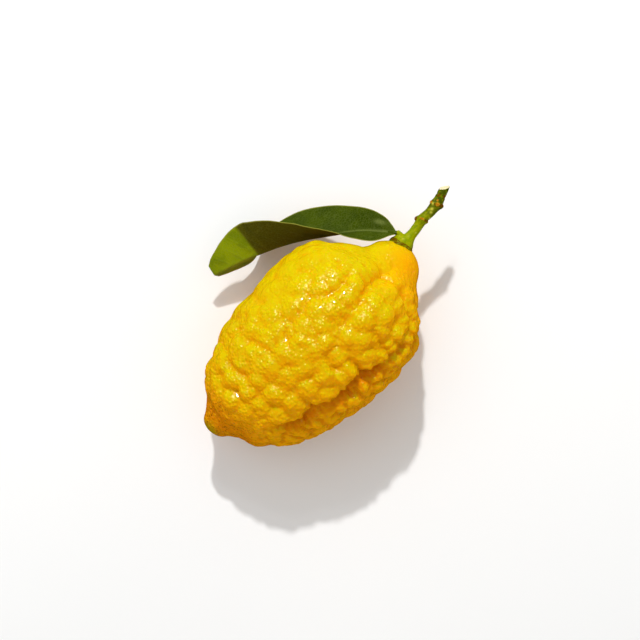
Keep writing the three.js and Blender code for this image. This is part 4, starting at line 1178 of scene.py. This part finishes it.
# %% Leaf material
DARK_LEAF, LEAF_GREEN = colour(0.032, 0.054, 0.0), colour(0.048, 0.074, 0.0)
UNDER_GREEN, UNDER_LIGHT = colour(0.165, 0.225, 0.0), colour(0.25, 0.32, 0.0)
# UNDER_DARK is the colour of the painted shade on the underside.
UNDER_DARK, MIDRIB_PALE = colour(0.075, 0.07, 0.0), colour(0.27, 0.32, 0.08)
MARGIN_PALE, MARGIN_BROWN = colour(0.36, 0.36, 0.06), colour(0.45, 0.22, 0.02)
POCK_RISE, NET_RISE = 0.00005, -0.00005
leaf_finish, tree, place, shader = new_material(
    "leaf_blade", IOR=1.45, Specular_IOR_Level=0.06, Specular_Tint=colour(0.9, 1, 0.5))
spread = add_node(tree, "CombineXYZ", {"X": attribute(tree, "down"), "Y": attribute(tree, "across")})
on_blade = spread.outputs["Vector"]
net = add_node(tree, "TexVoronoi", {"Vector": on_blade, "Scale": 0.8}, feature="DISTANCE_TO_EDGE")
net_lines = scaled(tree, net.outputs["Distance"], 0.12, 0.0)
oil_dots = use_group(tree, "dots", on_blade, Scale=1.3, Size=0.3, Share=0.6)
patches = use_group(tree, "mottle", place, Scale=110, Detail=6)
fresh_under = blend_colours(tree, patches, UNDER_GREEN, UNDER_LIGHT)
# painted shade on the underside nearer the stalk
underside = blend_colours(tree, attribute(tree, "painted_shade_under"), fresh_under, UNDER_DARK)
tone = coats(tree, blend_colours(tree, patches, DARK_LEAF, LEAF_GREEN), [
    (masked(tree, "under", 0.4, 0.6), underside),
    (masked(tree, "vein", 0.1, 1.0, 0.3), MIDRIB_PALE),
    # painted highlight on the upper face near the stalk
    (masked(tree, "painted_sheen", strength=0.35), MIDRIB_PALE),
    (scaled(tree, net_lines, 0, 1, 0, 0.12), MIDRIB_PALE),
    (scaled(tree, oil_dots, 0, 1, 0, 0.15), MARGIN_PALE),
    (masked(tree, "margin", 0.5, 1.0, 0.7), MARGIN_PALE),
    (attribute(tree, "browned"), MARGIN_BROWN),
])
dullness = scaled(tree, attribute(tree, "under"), 0.4, 0.6, 0.34, 0.6)
pocks = use_group(tree, "pimples", on_blade, Scale=2.2)
wire(tree, shader, tone, dullness, two_bumps(tree, pocks, POCK_RISE, net_lines, NET_RISE))
leaf.data.materials.append(leaf_finish)
print("leaf_blade has", len(tree.nodes), "nodes")

# %% [markdown]
# ## Floor, light and camera
# The fruit lies on a plain pale floor. One strong lamp stands well up beyond the leaf: it is small, so
# its shadows say how deep the folds are. A second lamp beside it gives no matt light and only adds to
# the gloss, which is what makes the waxed glands sparkle. A pale sky and one big soft lamp fill the
# shadows. Floor and sky are kept out of the reflections, because they would turn the peel milky. The
# camera looks straight down, turned so that the stem points to the upper right of the picture.

# %% Floor
FLOOR_HALF = 2
floor_mesh = bpy.data.meshes.new("floor")
floor_corners = [(x * FLOOR_HALF, y * FLOOR_HALF, 0) for x, y in ((-1, -1), (1, -1), (1, 1), (-1, 1))]
floor_mesh.from_pydata(floor_corners, [], [(0, 1, 2, 3)])
floor = bpy.data.objects.new("floor", floor_mesh)
bpy.context.scene.collection.objects.link(floor)
paper, tree, place, shader = new_material("floor_paper", Roughness=0.7)
clouds = use_group(tree, "mottle", place, Scale=3)
shade = blend_colours(tree, clouds, colour(0.88, 0.88, 0.87), colour(0.9, 0.9, 0.89))
tree.links.new(shade, shader.inputs["Base Color"])
floor.data.materials.append(paper)
floor.visible_glossy = False
print("floor is", 2 * FLOOR_HALF, "m across")

# %% Camera
CAMERA_PLACE = (0.0094, 0.0056, 0.763)
PICTURE_RIGHT = Vector((0.735, -0.678, 0)).normalized()
PICTURE_UP = Vector((0.678, 0.735, 0)).normalized()
LENS, SENSOR_WIDTH = 85, 36
camera_data = bpy.data.cameras.new("camera")
camera_data.lens, camera_data.sensor_width = LENS, SENSOR_WIDTH
camera = bpy.data.objects.new("camera", camera_data)
bpy.context.scene.collection.objects.link(camera)
axes = Matrix((PICTURE_RIGHT, PICTURE_UP, Vector((0, 0, 1)))).transposed()
camera.matrix_world = Matrix.Translation(CAMERA_PLACE) @ axes.to_4x4()
bpy.context.scene.camera = camera
print("camera looks along", (camera.matrix_world.to_3x3() @ Vector((0, 0, -1)))[:])


# %% Lamps and sky
def lamp(name, turn, height, distance, size, power):
    """A round lamp that looks at the fruit. `turn` is counted from the picture's right, in degrees."""
    light = bpy.data.lights.new(name, "AREA")
    light.shape, light.size, light.energy = "DISK", size, power
    across = PICTURE_RIGHT * math.cos(math.radians(turn)) + PICTURE_UP * math.sin(math.radians(turn))
    aim = across * math.cos(math.radians(height)) + Vector((0, 0, math.sin(math.radians(height))))
    holder = bpy.data.objects.new(name, light)
    bpy.context.scene.collection.objects.link(holder)
    holder.location = aim * distance + Vector((0, 0, AXIS_HEIGHT * MM))
    holder.rotation_euler = aim.to_track_quat("Z", "Y").to_euler()
    return holder


lamp("key_lamp", turn=95, height=47, distance=1.6, size=0.06, power=16.5)
lamp("fill_lamp", turn=150, height=60, distance=1.8, size=1.2, power=3)
sparkle = lamp("sparkle_lamp", turn=100, height=51, distance=1.6, size=0.1, power=48)
sparkle.visible_diffuse = False
SKY_STRENGTH = 0.6
sky = bpy.data.worlds.new("sky")
bpy.context.scene.world = sky
sky.use_nodes = True
sky.node_tree.nodes["Background"].inputs["Color"].default_value = colour(1, 1, 1)
sky.node_tree.nodes["Background"].inputs["Strength"].default_value = SKY_STRENGTH
sky.cycles_visibility.glossy = False
bpy.context.scene.view_settings.view_transform = "Standard"
